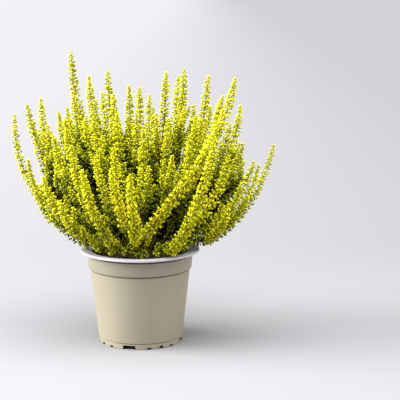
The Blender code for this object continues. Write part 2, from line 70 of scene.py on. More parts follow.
# Every stem: its leading shoot, then its side shoots. Tips are millimetres to the right of the pot's
# axis, behind it and above the floor.
STEMS = tuple(
    tuple(Shoot(*shoot) for shoot in stem)
    for stem in (
        ((-123, -5, 230, 0.0, ((-84, -14, 113), (-126, -10, 166))), (-106, -40, 190, 0.3)),
        ((-113, 15, 238), (-102, 36, 242, 0.5), (-92, 8, 218, 0.42)),
        ((-86, 54, 227), (-106, 62, 190, 0.35)),
        ((-72, -18, 227), (-80, -47, 214, 0.35), (-84, -4, 206, 0.48)),
        ((-69, 22, 290), (-65, -2, 253, 0.4), (-76, 44, 232, 0.45)),
        ((-54, 54, 264), (-45, 24, 242, 0.42), (-66, 76, 232, 0.4)),
        ((-33, 32, 270), (-25, -2, 250, 0.36), (-42, 78, 245, 0.3)),
        ((-20, -34, 234), (-44, -30, 236, 0.38), (-54, -8, 224, 0.45)),
        ((-13, 60, 254), (-12, 98, 212, 0.35), (-26, 50, 230, 0.5)),
        ((0, 16, 255), (-2, -18, 233, 0.42), (-12, 8, 228, 0.52)),
        ((7, 84, 242), (24, 108, 206, 0.35)),
        ((26, 40, 269), (43, 72, 237, 0.35), (12, 44, 232, 0.48)),
        ((39, 15, 267), (45, -11, 275, 0.45), (17, -6, 231, 0.38)),
        ((69, 30, 266), (71, 66, 232, 0.36), (54, 34, 236, 0.45)),
        ((57, -34, 232), (51, -62, 215, 0.38), (62, -8, 226, 0.44)),
        ((94, -45, 269, 0.0, ((-2, -58, 128), (78, -78, 180))), (80, -22, 247, 0.62)),
        ((84, 66, 242), (98, 80, 190, 0.35)),
        ((90, 0, 221), (102, 38, 235, 0.35), (104, 8, 200, 0.44)),
        ((134, 0, 199, 0.0, ((84, -6, 103), (118, -4, 134))), (121, 36, 174, 0.32)),
        ((113, -26, 186), (99, -52, 166, 0.32)),
        ((75, -80, 215, 0.0, ((42, -62, 100), (66, -95, 165))), (88, -56, 196, 0.42)),
        ((108, -20, 150), (88, -64, 146, 0.32)),
        ((-4, -100, 184), (-22, -90, 188, 0.4)),
        ((-21, -68, 205), (-38, -74, 197, 0.38)),
        ((-50, -82, 186), (-62, -60, 206, 0.38)),
        ((-90, -58, 176), (-72, -76, 156, 0.34)),
        ((6, -46, 220), (12, -58, 186, 0.4)),
        ((30, -28, 229), (34, -58, 196, 0.36)),
        ((-64, 96, 212), (-90, 84, 178, 0.34)),
        ((-34, 112, 200), (-2, 122, 172, 0.34)),
        ((58, 102, 208), (42, 116, 168, 0.34)),
        ((-97, -22, 163), (-88, -48, 146, 0.36)),
        ((104, 14, 172), (92, 32, 190, 0.35)),
        ((104, 56, 176), (96, 92, 176, 0.35)),
        ((-100, 58, 168), (-94, 4, 186, 0.38)),
    )
)

# The stems in front of the crown: larger leaves, brightened by painted light and more often golden
BRIGHT_STEMS = {15: 1.0, 20: 0.7, 22: 0.3, 24: 0.4}

# The outer stems with slim spikes
SLENDER_STEMS = (0, 18)

# Stems in front whose lower part has lost its leaves, with the bare length
BARE_STEMS = {15: 5 * MM, 14: 28 * MM, 22: 34 * MM, 23: 28 * MM, 26: 36 * MM, 27: 28 * MM}


def linear(colour: str) -> tuple[float, float, float, float]:
    """Turn an sRGB hex colour to linear.

    Args:
        colour: The colour as "#rrggbb".

    Returns:
        Its linear red, green and blue, and an alpha of 1.
    """
    shares = [int(colour[start : start + 2], 16) / 255 for start in (1, 3, 5)]
    low = 0.04045
    return (*(share / 12.92 if share <= low else ((share + 0.055) / 1.055) ** 2.4 for share in shares), 1.0)


def add_node(tree: bpy.types.NodeTree, kind: str, inputs: dict, **settings: Any) -> Any:
    """Add a shader node, with its settings and its inputs.

    Args:
        tree: The node tree that gets the node.
        kind: The node's type, without ShaderNode in front.
        inputs: A number, an sRGB hex colour or another node's output for each input, by name or index.
        settings: The node's properties by name.

    Returns:
        The new node's outputs.
    """
    node = tree.nodes.new("ShaderNode" + kind)
    for name, value in settings.items():
        setattr(node, name, value)
    for name, value in inputs.items():
        if isinstance(value, bpy.types.NodeSocket):
            tree.links.new(value, node.inputs[name])
        else:
            node.inputs[name].default_value = linear(value) if isinstance(value, str) else value
    return node.outputs


def select_only(*objects: bpy.types.Object) -> None:
    """Leave object mode with nothing selected but the given objects, the first of them active.

    Args:
        objects: The objects, or none before a new primitive.
    """
    if bpy.context.mode != "OBJECT":
        bpy.ops.object.mode_set(mode="OBJECT")
    bpy.ops.object.select_all(action="DESELECT")
    for obj in objects:
        obj.select_set(True)
    if objects:
        bpy.context.view_layer.objects.active = objects[0]


class Part(Enum):
    """What a selection picks, by its name in Blender."""

    CORNERS = "VERT"
    FACES = "FACE"


def pick(part: Part, wanted: Callable[[Any], bool]) -> None:
    """Select the corners or faces of the mesh in edit mode that a test accepts, and nothing else.

    Args:
        part: What is picked.
        wanted: A function of a corner or a face that says whether it is selected.
    """
    bpy.ops.mesh.select_mode(type=part.value)
    bpy.ops.mesh.select_all(action="DESELECT")
    shape = bmesh.from_edit_mesh(bpy.context.object.data)
    for element in shape.verts if part is Part.CORNERS else shape.faces:
        element.select_set(bool(wanted(element)))
    shape.select_flush_mode()
    bmesh.update_edit_mesh(bpy.context.object.data)


def join(*objects: bpy.types.Object) -> bpy.types.Object:
    """Join objects to one.

    Args:
        objects: The objects. The first one keeps its name and its materials.

    Returns:
        The joined object.
    """
    select_only(*objects)
    bpy.ops.object.join()
    return bpy.context.object


def in_place(obj: bpy.types.Object, name: str) -> bpy.types.Object:
    """Name a finished piece and put its place into its mesh.

    Args:
        obj: The piece.
        name: Its new name.

    Returns:
        The same piece, its object at the origin, unturned and unscaled.
    """
    select_only(obj)
    bpy.ops.object.transform_apply(location=True, rotation=True, scale=True)
    obj.name = name
    obj.data.name = name
    return obj


def draw_rings(rings: list[tuple[float, float]], steps: int) -> bpy.types.Object:
    """Draw a round closed shape: a disc, then one extruded ring after another, and a last disc.

    Args:
        rings: The radius and height of each ring.
        steps: The number of corners on each ring.

    Returns:
        The shape, its normals outward.
    """
    select_only()
    radius, height = rings[0]
    bpy.ops.mesh.primitive_circle_add(
        vertices=steps, radius=radius, fill_type="NGON", location=(0.0, 0.0, height)
    )
    shape = bpy.context.object
    bpy.ops.object.transform_apply(location=True, rotation=False, scale=False)
    bpy.ops.object.mode_set(mode="EDIT")
    bpy.ops.mesh.select_all(action="SELECT")
    bpy.ops.mesh.select_mode(type="EDGE")
    bpy.ops.mesh.region_to_loop()
    for (before, low), (after, high) in zip(rings, rings[1:]):
        bpy.ops.mesh.extrude_edges_move(TRANSFORM_OT_translate={"value": (0.0, 0.0, high - low)})
        scale = after / before
        bpy.ops.transform.resize(value=(scale, scale, 1.0), center_override=(0.0, 0.0, high))
    bpy.ops.mesh.edge_face_add()
    bpy.ops.mesh.select_all(action="SELECT")
    bpy.ops.mesh.normals_make_consistent(inside=False)
    bpy.ops.object.mode_set(mode="OBJECT")
    return shape


def take_shape(obj: bpy.types.Object) -> tuple[np.ndarray, np.ndarray]:
    """Read a modelled shape's corners and triangles, and remove its object.

    Args:
        obj: The object, whose faces are triangles.

    Returns:
        Its corners and its triangles.
    """
    mesh = obj.data
    corners = np.zeros(3 * len(mesh.vertices))
    mesh.vertices.foreach_get("co", corners)
    triangles = np.array([face.vertices[:] for face in mesh.polygons])
    bpy.data.objects.remove(obj, do_unlink=True)
    return corners.reshape(-1, 3), triangles


class Shape(NamedTuple):
    """Corners and triangles as arrays, with three numbers for each corner that a material reads."""

    corners: np.ndarray
    triangles: np.ndarray
    values: np.ndarray


def copies(
    corners: np.ndarray,
    triangles: np.ndarray,
    sizes: np.ndarray,
    axes: np.ndarray,
    places: np.ndarray,
    values: np.ndarray,
) -> Shape:
    """Copy a small shape to many places.

    Args:
        corners: Its corners.
        triangles: Its triangles.
        sizes: The size of each copy, as numbers that its corners are multiplied with.
        axes: The directions of the X, Y and Z axis of each copy.
        places: The place of each copy.
        values: The values of the corners of each copy.

    Returns:
        All copies.
    """
    placed = np.einsum("nki,nij->nkj", corners[None] * sizes, axes) + places[:, None]
    joined = triangles[None] + len(corners) * np.arange(len(places))[:, None, None]
    return Shape(placed.reshape(-1, 3), joined.reshape(-1, 3), values.reshape(-1, 3))


def piece_from_arrays(name: str, shape: Shape, attribute: str) -> bpy.types.Object:
    """Make an object from arrays.

    Args:
        name: The object's name.
        shape: Its corners and triangles and their values.
        attribute: The name of the attribute that holds the values.

    Returns:
        The new object, linked into the scene.
    """
    mesh = bpy.data.meshes.new(name)
    mesh.vertices.add(len(shape.corners))
    mesh.vertices.foreach_set("co", shape.corners.astype(np.float32).ravel())
    mesh.loops.add(shape.triangles.size)
    mesh.loops.foreach_set("vertex_index", shape.triangles.astype(np.int32).ravel())
    mesh.polygons.add(len(shape.triangles))
    mesh.polygons.foreach_set("loop_start", np.arange(0, shape.triangles.size, 3, dtype=np.int32))
    mesh.update(calc_edges=True)
    mesh.validate()
    write_vectors(mesh, attribute, shape.values)
    obj = bpy.data.objects.new(name, mesh)
    bpy.context.scene.collection.objects.link(obj)
    return obj


def write_vectors(mesh: bpy.types.Mesh, name: str, values: np.ndarray) -> None:
    """Store a row of three numbers for every corner of a mesh, under a name that a material reads."""
    attribute = mesh.attributes.new(name, "FLOAT_VECTOR", "POINT")
    attribute.data.foreach_set("vector", values.astype(np.float32).ravel())


def unit(vectors: np.ndarray) -> np.ndarray:
    """Return vectors at a length of one."""
    return vectors / np.maximum(np.linalg.norm(vectors, axis=-1, keepdims=True), 1e-12)


@dataclass(frozen=True)
class Finish:
    """A procedural material, which the kinds below give its surface."""

    name: str

    def surface(self, tree: bpy.types.NodeTree) -> dict:
        """Draw the surface and return the shader's inputs, in each finish's own way."""
        raise NotImplementedError

    def make(self) -> bpy.types.Material:
        """Make the material.

        Returns:
            The new material.
        """
        material = bpy.data.materials.new(self.name)
        material.use_nodes = True
        tree = material.node_tree
        tree.nodes.clear()
        shader = add_node(tree, "BsdfPrincipled", self.surface(tree))
        add_node(tree, "OutputMaterial", {0: shader[0]})
        return material


@dataclass(frozen=True)
class LeafFinish(Finish):
    """Scale leaves of a gold heather: waxy and lemon yellow in the sun, olive at their base.

    The eye sees bright yellow points over dark gaps. Each leaf's share of sky mixes a sunny and a
    shaded copy of its colours, which is painted light and shade; the shaded copy is also greener, as
    leaves grown in shade are, and deep leaves are darkened towards black, which is painted shade.
    """

    name: str = "gold heather leaf"
    sunny_tip: str = "#e6e70d"
    sunny_base: str = "#999d08"
    # Shaded copy: greener, as leaves grown in shade are; its near-black base is painted shade
    shaded_tip: str = "#dcf626"
    shaded_base: str = "#050902"
    ripe_tip: str = "#cda40c"
    sheen: str = "#f0ec90"
    sunny_range: tuple = (0.30, 0.90)
    ripe_tone: float = 0.86
    most_ripe: float = 0.75
    lift: tuple = (0.42, 1.20)
    # Painted shade: how dark a leaf that sees little sky gets, and the share of sky where it stops
    painted_shade: float = 0.015
    painted_shade_end: float = 0.62
    roughness: float = 0.27
    specular: float = 0.60
    through: tuple = (0.05, 0.55)
    depth: float = 1.4 * MM
    depth_by_colour: tuple = (1.0, 1.0, 0.3)

    def surface(self, tree: bpy.types.NodeTree) -> dict:
        """Draw the surface, which reads each leaf's tip share, tone and light from its attribute.

        Args:
            tree: The material's node tree.

        Returns:
            The shader's inputs.
        """
        leaf = add_node(tree, "Attribute", {}, attribute_name="leaf")["Vector"]
        tip, tone, light = add_node(tree, "SeparateXYZ", {0: leaf})
        sun = {0: light, "From Min": self.sunny_range[0], "From Max": self.sunny_range[1]}
        ripe = {0: tone, "From Min": self.ripe_tone, "From Max": 1.0, "To Max": self.most_ripe}
        lift = {0: tone, "From Max": self.ripe_tone, "To Min": self.lift[0], "To Max": self.lift[1]}
        # Painted shade: the colour darkens towards black where a leaf sees little sky
        painted_shade = {0: light, "From Max": self.painted_shade_end, "To Min": self.painted_shade, "To Max": 1.0}
        through = {0: light, "To Min": self.through[0], "To Max": self.through[1]}
        sun, ripe, lift, painted_shade, through = (
            add_node(tree, "MapRange", inputs)[0] for inputs in (sun, ripe, lift, painted_shade, through)
        )
        # Painted light and shade: sunny and shaded copies of the colours, mixed by the share of sky
        shaded = {SHARE: tip, FIRST: self.shaded_base, SECOND: self.shaded_tip}
        colour = add_node(tree, "Mix", shaded, data_type="RGBA")[MIXED]
        sunny = {SHARE: tip, FIRST: self.sunny_base, SECOND: self.sunny_tip}
        sunny = add_node(tree, "Mix", sunny, data_type="RGBA")[MIXED]
        for share, over in ((sun, sunny), (ripe, self.ripe_tip)):
            inputs = {SHARE: share, FIRST: colour, SECOND: over}
            colour = add_node(tree, "Mix", inputs, data_type="RGBA")[MIXED]
        # Tone lifts or dims leaves, with painted light on front sprays; painted shade darkens deep leaves
        for share in (lift, painted_shade):
            colour = add_node(tree, "VectorMath", {0: colour, "Scale": share}, operation="SCALE")[0]
        return {
            "Base Color": colour,
            "Roughness": self.roughness,
            "Specular IOR Level": self.specular,
            "Specular Tint": self.sheen,
            "Subsurface Weight": through,
            "Subsurface Scale": self.depth,
            "Subsurface Radius": self.depth_by_colour,
        }


@dataclass(frozen=True)
class BarkFinish(Finish):
    """Thin flaking bark of a heather stem: matt and red-brown, and still olive green where it is young."""

    name: str = "heather bark"
    ridge: str = "#4c2c1c"
    crack: str = "#1a0e09"
    young: str = "#a8aa06"
    grain: float = 0.9 * MM
    detail: float = 3.0
    relief: float = 0.2 * MM
    relief_strength: float = 0.6
    roughness: float = 0.85
    specular: float = 0.05

    def surface(self, tree: bpy.types.NodeTree) -> dict:
        """Draw the surface, which reads the wood's youth from its attribute.

        Args:
            tree: The material's node tree.

        Returns:
            The shader's inputs.
        """
        place = add_node(tree, "TexCoord", {})["Object"]
        grain = {"Vector": place, "Scale": 1 / self.grain, "Detail": self.detail}
        flakes = add_node(tree, "TexNoise", grain)[0]
        shoot = add_node(tree, "Attribute", {}, attribute_name="leaf")["Vector"]
        youth = add_node(tree, "SeparateXYZ", {0: shoot})[0]
        colour = self.crack
        for share, over in ((flakes, self.ridge), (youth, self.young)):
            inputs = {SHARE: share, FIRST: colour, SECOND: over}
            colour = add_node(tree, "Mix", inputs, data_type="RGBA")[MIXED]
        relief = {"Height": flakes, "Distance": self.relief, "Strength": self.relief_strength}
        return {
            "Base Color": colour,
            "Roughness": self.roughness,
            "Specular IOR Level": self.specular,
            "Normal": add_node(tree, "Bump", relief)[0],
        }


@dataclass(frozen=True)
class MouldedPlastic(Finish):
    """Thermoformed polypropylene sheet: satin, even in colour, with the sheet's faint drawn waviness."""

    colour: str
    mark: str
    roughness: float = 0.42
    smoother: float = 0.05
    rougher: float = 0.08
    specular: float = 0.5
    wave: float = 14.0 * MM
    wave_stretch: float = 0.35
    wave_relief: float = 0.5 * MM
    wave_strength: float = 0.35
    grit: float = 0.8 * MM
    grit_relief: float = 0.03 * MM
    grit_strength: float = 0.4
    detail: float = 2.0
    mark_range: tuple = (0.35, 0.75)
    most_marked: float = 0.30

    def surface(self, tree: bpy.types.NodeTree) -> dict:
        """Draw the surface: waves that were drawn out along the wall, and fine grit.

        Args:
            tree: The material's node tree.

        Returns:
            The shader's inputs.
        """
        place = add_node(tree, "TexCoord", {})["Object"]
        drawn = add_node(tree, "Mapping", {"Vector": place, "Scale": (1.0, 1.0, self.wave_stretch)})[0]
        wave = {"Vector": drawn, "Scale": 1 / self.wave, "Detail": self.detail}
        grit = {"Vector": place, "Scale": 1 / self.grit, "Detail": self.detail}
        wave, grit = (add_node(tree, "TexNoise", inputs)[0] for inputs in (wave, grit))
        start, end = self.mark_range
        marks = {0: wave, "From Min": start, "From Max": end, "To Max": self.most_marked}
        rough = {0: grit, "To Min": self.roughness - self.smoother, "To Max": self.roughness + self.rougher}
        marks, rough = (add_node(tree, "MapRange", inputs)[0] for inputs in (marks, rough))
        inputs = {SHARE: marks, FIRST: self.colour, SECOND: self.mark}
        colour = add_node(tree, "Mix", inputs, data_type="RGBA")[MIXED]
        swell = {"Height": wave, "Distance": self.wave_relief, "Strength": self.wave_strength}
        relief = {"Height": grit, "Distance": self.grit_relief, "Strength": self.grit_strength}
        relief["Normal"] = add_node(tree, "Bump", swell)[0]
        return {
            "Base Color": colour,
            "Roughness": rough,
            "Specular IOR Level": self.specular,
            "Normal": add_node(tree, "Bump", relief)[0],
        }


@dataclass(frozen=True)
class PeatFinish(Finish):
    """Damp peat mixed with bark fines: matt, black-brown, with paler and redder crumbs."""

    name: str = "damp peat"
    dark: str = "#140d0b"
    brown: str = "#3a2519"
    red: str = "#5a3330"
    grain: float = 1.6 * MM
    detail: float = 4.0
    brown_range: tuple = (0.4, 0.75)
    relief: float = 0.6 * MM
    relief_strength: float = 0.9
    roughness: float = 0.93

    def surface(self, tree: bpy.types.NodeTree) -> dict:
        """Draw the surface, which reads each crumb's tone from its attribute.

        Args:
            tree: The material's node tree.

        Returns:
            The shader's inputs.
        """
        place = add_node(tree, "TexCoord", {})["Object"]
        grain = {"Vector": place, "Scale": 1 / self.grain, "Detail": self.detail}
        grain = add_node(tree, "TexNoise", grain)[0]
        crumb = add_node(tree, "Attribute", {}, attribute_name="crumb")["Vector"]
        pale, reddish, _ = add_node(tree, "SeparateXYZ", {0: crumb})
        start, end = self.brown_range
        contrast = add_node(tree, "MapRange", {0: grain, "From Min": start, "From Max": end})[0]
        colour = self.dark
        for share, over in ((contrast, self.brown), (pale, self.brown), (reddish, self.red)):
            inputs = {SHARE: share, FIRST: colour, SECOND: over}
            colour = add_node(tree, "Mix", inputs, data_type="RGBA")[MIXED]
        relief = {"Height": grain, "Distance": self.relief, "Strength": self.relief_strength}
        return {
            "Base Color": colour,
            "Roughness": self.roughness,
            "Normal": add_node(tree, "Bump", relief)[0],
        }


@dataclass(frozen=True)
class PaperFinish(Finish):
    """Seamless photographic paper: matt, near white, a little bluish; painted shade behind and at right."""

    name: str = "seamless paper"
    # Painted shade: the bands behind the pot and the right side are greyer, where the light falls off
    near: str = "#87888f"
    near_right: str = "#797a80"
    middle: str = "#818289"
    middle_right: str = "#737479"
    far: str = "#808188"
    far_right: str = "#6b6c73"
    behind_range: tuple = (-0.03, 0.11)
    beyond_range: tuple = (0.12, 0.50)
    right_range: tuple = (-0.55, 0.85)
    roughness: float = 0.9

    def surface(self, tree: bpy.types.NodeTree) -> dict:
        """Draw the surface: three bands from front to back, each greyer to the right, as painted shade.

        Args:
            tree: The material's node tree.

        Returns:
            The shader's inputs.
        """
        place = add_node(tree, "TexCoord", {})["Object"]
        x, y, _ = add_node(tree, "SeparateXYZ", {0: place})
        behind, beyond, right = (
            add_node(
                tree,
                "MapRange",
                {0: value, "From Min": start, "From Max": end},
                interpolation_type="SMOOTHSTEP",
            )[0]
            for value, (start, end) in ((y, self.behind_range), (y, self.beyond_range), (x, self.right_range))
        )
        near, middle, far = (
            add_node(tree, "Mix", {SHARE: right, FIRST: left, SECOND: side}, data_type="RGBA")[MIXED]
            for left, side in (
                (self.near, self.near_right),
                (self.middle, self.middle_right),
                (self.far, self.far_right),
            )
        )
        colour = near
        for share, over in ((behind, middle), (beyond, far)):
            inputs = {SHARE: share, FIRST: colour, SECOND: over}
            colour = add_node(tree, "Mix", inputs, data_type="RGBA")[MIXED]
        return {"Base Color": colour, "Roughness": self.roughness}


class PotSlot(IntEnum):
    """Which of the pot's two skins a face belongs to."""

    OUTSIDE = 0
    INSIDE = 1


@dataclass
class NurseryPot:
    """The thermoformed 12 cm pot: white lip and inside, taupe outside, notches in its foot."""

    height: float = 95.0 * MM
    lip_radius: float = 60.0 * MM
    lip_inner_radius: float = 53.5 * MM
    lip_skirt: float = 2.4 * MM
    groove_depth: float = 3.3 * MM
    groove_drop: float = 5.5 * MM
    collar_top_radius: float = 53.1 * MM
    collar_foot_radius: float = 52.1 * MM
    collar_foot_drop: float = 18.0 * MM
    ledge_drop: float = 20.2 * MM
    ledge_groove: float = 1.2 * MM
    body_top_radius: float = 50.2 * MM
    body_foot_radius: float = 42.8 * MM
    foot_band: float = 6.3 * MM
    foot_inset: float = 0.5 * MM
    foot_groove: float = 1.1 * MM
    base_radius: float = 42.0 * MM
    wall: float = 0.9 * MM
    foot_ring: float = 2.2 * MM
    channel_height: float = 4.6 * MM
    middle_radius: float = 29.0 * MM
    drain_holes: int = 8
    drain_hole_radius: float = 2.5 * MM
    drain_cut: int = 4
    notch_turns: int = 4
    dome_angle: float = math.radians(31.4)
    dome_width: float = 4.9 * MM
    dome_height: float = 3.3 * MM
    slit_offset: float = math.radians(17.5)
    slit_width: float = 4.6 * MM
    slit_height: float = 2.1 * MM
    gate_offset: float = math.radians(-45.0)
    gate_width: float = 17.6 * MM
    gate_top_width: float = 11.8 * MM
    gate_height: float = 4.3 * MM
    notch_depth: float = 5.0 * MM
    steps: int = 128
    cutter_steps: int = 24
    smooth_angle: float = math.radians(32)
    white_roughness: float = 0.35
    # How far a face turns to count as lining, and the white part's limits in wall thicknesses
    facing: float = 0.3
    white_floor: int = 4
    white_top: float = 0.9
    white_edge: float = 1.1

    def body_radius(self, height: float) -> float:
        """Return the outer radius of the tapered body.

        Args:
            height: The height over the floor.

        Returns:
            The radius there.
        """
        top = self.height - self.ledge_drop
        share = (height - self.foot_band) / (top - self.foot_band)
        return self.body_foot_radius + share * (self.body_top_radius - self.body_foot_radius)

    def section(self) -> list[tuple[float, float]]:
        """Return the section, with small steps at its corners where the drawn sheet is rounded.

        Returns:
            Pairs of radius and height, from the inner floor up, over the lip and down.
        """
        top, wall, lip, collar = self.height, self.wall, self.lip_radius, self.collar_top_radius
        groove, groove_foot = collar - self.groove_depth, top - self.groove_drop
        waist = self.body_top_radius - self.ledge_groove
        collar_foot, ledge = top - self.collar_foot_drop, top - self.ledge_drop
        band, channel, ring = self.foot_band, self.channel_height, self.base_radius - self.foot_ring
        inside = [
            (self.middle_radius, wall),
            (self.middle_radius + wall, channel + wall),
            (self.body_radius(channel) - 2 * wall, channel + wall),
            (self.body_radius(band + wall) - wall, band + 2 * wall),
            (waist - wall, ledge - 0.4 * MM),
            (waist - wall, collar_foot - 0.2 * MM),
            (self.collar_foot_radius - wall, collar_foot + 0.6 * MM),
            (collar - wall, groove_foot - wall),
            (groove - wall, groove_foot),
            (groove - wall, top - 1.3 * wall),
            (collar - 0.8 * wall, top - 0.4 * wall),
            (self.lip_inner_radius + 0.3 * wall, top - 0.1 * wall),
        ]
        over = [
            (self.lip_inner_radius + 1.2 * wall, top),
            (lip - 1.6 * wall, top),
            (lip - 0.7 * wall, top - 0.12 * wall),
            (lip - 0.2 * wall, top - 0.5 * wall),
            (lip, top - 1.1 * wall),
            (lip, top - self.lip_skirt + 0.3 * wall),
            (lip - 0.3 * wall, top - self.lip_skirt),
            (lip - wall, top - self.lip_skirt),
            (lip - 1.3 * wall, top - wall),
            (groove, top - 1.1 * wall),
            (groove, groove_foot + 0.5 * MM),
            (collar, groove_foot),
        ]
        outside = [
            (self.collar_foot_radius, collar_foot - 0.4 * MM),
            (self.collar_foot_radius - 0.3 * MM, collar_foot - 0.9 * MM),
            (waist, collar_foot - 1.1 * MM),
            (waist, ledge + 0.3 * MM),
            (self.body_top_radius, ledge - 0.4 * MM),
            (self.body_radius(band + 0.3 * MM), band + 0.3 * MM),
            (self.body_foot_radius - self.foot_groove, band),
            (self.body_foot_radius - self.foot_groove, band - 0.5 * MM),
            (self.body_foot_radius - self.foot_inset, band - 1.0 * MM),
            (self.base_radius + 0.1 * MM, 0.5 * MM),
            (self.base_radius - 0.3 * MM, 0.0),
            (ring, 0.0),
            (ring, channel),
            (self.middle_radius + 2 * wall, channel),
            (self.middle_radius + wall, 0.0),
        ]
        return inside + over + outside

    def place_cutter(self, angle: float) -> bpy.types.Object:
        """Move the new cutter, made at the origin with Y across the wall, into the foot ring.

        Args:
            angle: Its place round the pot, from the front.

        Returns:
            The cutter.
        """
        cutter = bpy.context.object
        cutter.location.y -= self.base_radius - self.foot_ring / 2
        bpy.ops.object.transform_apply(location=True, rotation=True, scale=True)
        cutter.rotation_euler.z = angle
        bpy.ops.object.transform_apply(location=False, rotation=True, scale=False)
        return cutter

    def notch(self, width: float, top_width: float, height: float, angle: float) -> bpy.types.Object:
        """Return a wedge that cuts a notch through the foot ring.

        Args:
            width: Its width at the floor.
            top_width: Its width at its top.
            height: Its height.
            angle: Its place round the pot, from the front.

        Returns:
            The cutter, twice as tall as the notch so that its lower half is under the floor.
        """
        select_only()
        bpy.ops.mesh.primitive_cube_add(size=1.0, scale=(width, self.notch_depth, 2 * height))
        bpy.ops.object.transform_apply(location=False, rotation=False, scale=True)
        bpy.ops.object.mode_set(mode="EDIT")
        pick(Part.FACES, lambda face: face.normal.z > 0.5)
        bpy.ops.transform.resize(value=(top_width / width, 1.0, 1.0), center_override=(0.0, 0.0, height))
        bpy.ops.object.mode_set(mode="OBJECT")
        return self.place_cutter(angle)

    def dome(self, angle: float) -> bpy.types.Object:
        """Return a lying cylinder that cuts a round-topped notch through the foot ring.

        Args:
            angle: Its place round the pot, from the front.

        Returns:
            The cutter.
        """
        select_only()
        bpy.ops.mesh.primitive_cylinder_add(
            vertices=self.cutter_steps,
            radius=self.dome_width / 2,
            depth=self.notch_depth,
            location=(0.0, 0.0, self.dome_height - self.dome_width / 2),
            rotation=(QUARTER_TURN, 0.0, 0.0),
        )
        return self.place_cutter(angle)

    def drain(self, angle: float) -> bpy.types.Object:
        """Return an upright cylinder that cuts a drain hole through the channel.

        Args:
            angle: Its place round the pot, from the front.

        Returns:
            The cutter.
        """
        ring = (self.middle_radius + 2 * self.wall + self.base_radius - self.foot_ring) / 2
        select_only()
        bpy.ops.mesh.primitive_cylinder_add(
            vertices=self.cutter_steps,
            radius=self.drain_hole_radius,
            depth=self.drain_cut * self.wall,
            location=(ring * math.sin(angle), -ring * math.cos(angle), self.channel_height),
        )
        return bpy.context.object

    def cutters(self) -> list[bpy.types.Object]:
        """Make the cutters of all notches and drain holes.

        Returns:
            The cutters, which don't touch one another.
        """
        made = []
        for turn in range(self.notch_turns):
            dome = self.dome_angle + turn * math.tau / self.notch_turns
            made.append(self.dome(dome))
            gate = dome + self.gate_offset
            made.append(self.notch(self.gate_width, self.gate_top_width, self.gate_height, gate))
            for side in (-1, 1):
                slit = dome + side * self.slit_offset
                made.append(self.notch(self.slit_width, self.slit_width, self.slit_height, slit))
        for index in range(self.drain_holes):
            made.append(self.drain(self.dome_angle + (index + 0.5) * math.tau / self.drain_holes))
        return made

    def cut(self, pot: bpy.types.Object) -> None:
        """Cut the notches and drain holes out of the pot.

        Args:
            pot: The pot.
        """
        tool = join(*self.cutters())
        select_only(pot)
        boolean = pot.modifiers.new("drainage", "BOOLEAN")
        boolean.operation = "DIFFERENCE"
        boolean.solver = "EXACT"
        boolean.object = tool
        bpy.ops.object.modifier_apply(modifier=boolean.name)
        bpy.data.objects.remove(tool, do_unlink=True)

    def is_white(self, face: bpy.types.MeshPolygon) -> bool:
        """Return whether a face belongs to the lip, the lining or the inner floor.

        Args:
            face: The face.

        Returns:
            Whether it is white.
        """
        x, y, height = face.center
        reach = math.hypot(x, y)
        inward = x * face.normal.x + y * face.normal.y < -self.facing * reach
        low = height < self.channel_height + self.white_floor * self.wall
        at_top = height > self.height - self.white_top * self.wall
        at_edge = reach > self.lip_radius - self.white_edge * self.wall
        lining = inward and height > self.channel_height + self.wall
        floor = face.normal.z > self.facing and low and reach < self.base_radius - self.foot_ring
        return at_top or at_edge or lining or floor

    def skin(self, pot: bpy.types.Object) -> None:
        """Give the outside its taupe and the lip and inside their white, and smooth the round faces.

        Args:
            pot: The pot.
        """
        taupe = MouldedPlastic("taupe polypropylene", "#8d8877", "#847f6f")
        white = MouldedPlastic("white polypropylene", "#aeafb6", "#a6a7ae", roughness=self.white_roughness)
        pot.data.materials.clear()
        pot.data.materials.append(taupe.make())
        pot.data.materials.append(white.make())
        for face in pot.data.polygons:
            face.material_index = PotSlot.INSIDE if self.is_white(face) else PotSlot.OUTSIDE
        select_only(pot)
        bpy.ops.object.shade_smooth_by_angle(angle=self.smooth_angle)

    def build(self) -> bpy.types.Object:
        """Build the pot and put it on its body.

        Returns:
            The pot, which stands for the node "pot".
        """
        pot = draw_rings(self.section(), self.steps)
        self.cut(pot)
        self.skin(pot)
        pot = in_place(pot, "nursery_pot")
        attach(pot, "root")
        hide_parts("pot")
        LOG.info("%s: %d faces", pot.name, len(pot.data.polygons))
        return pot


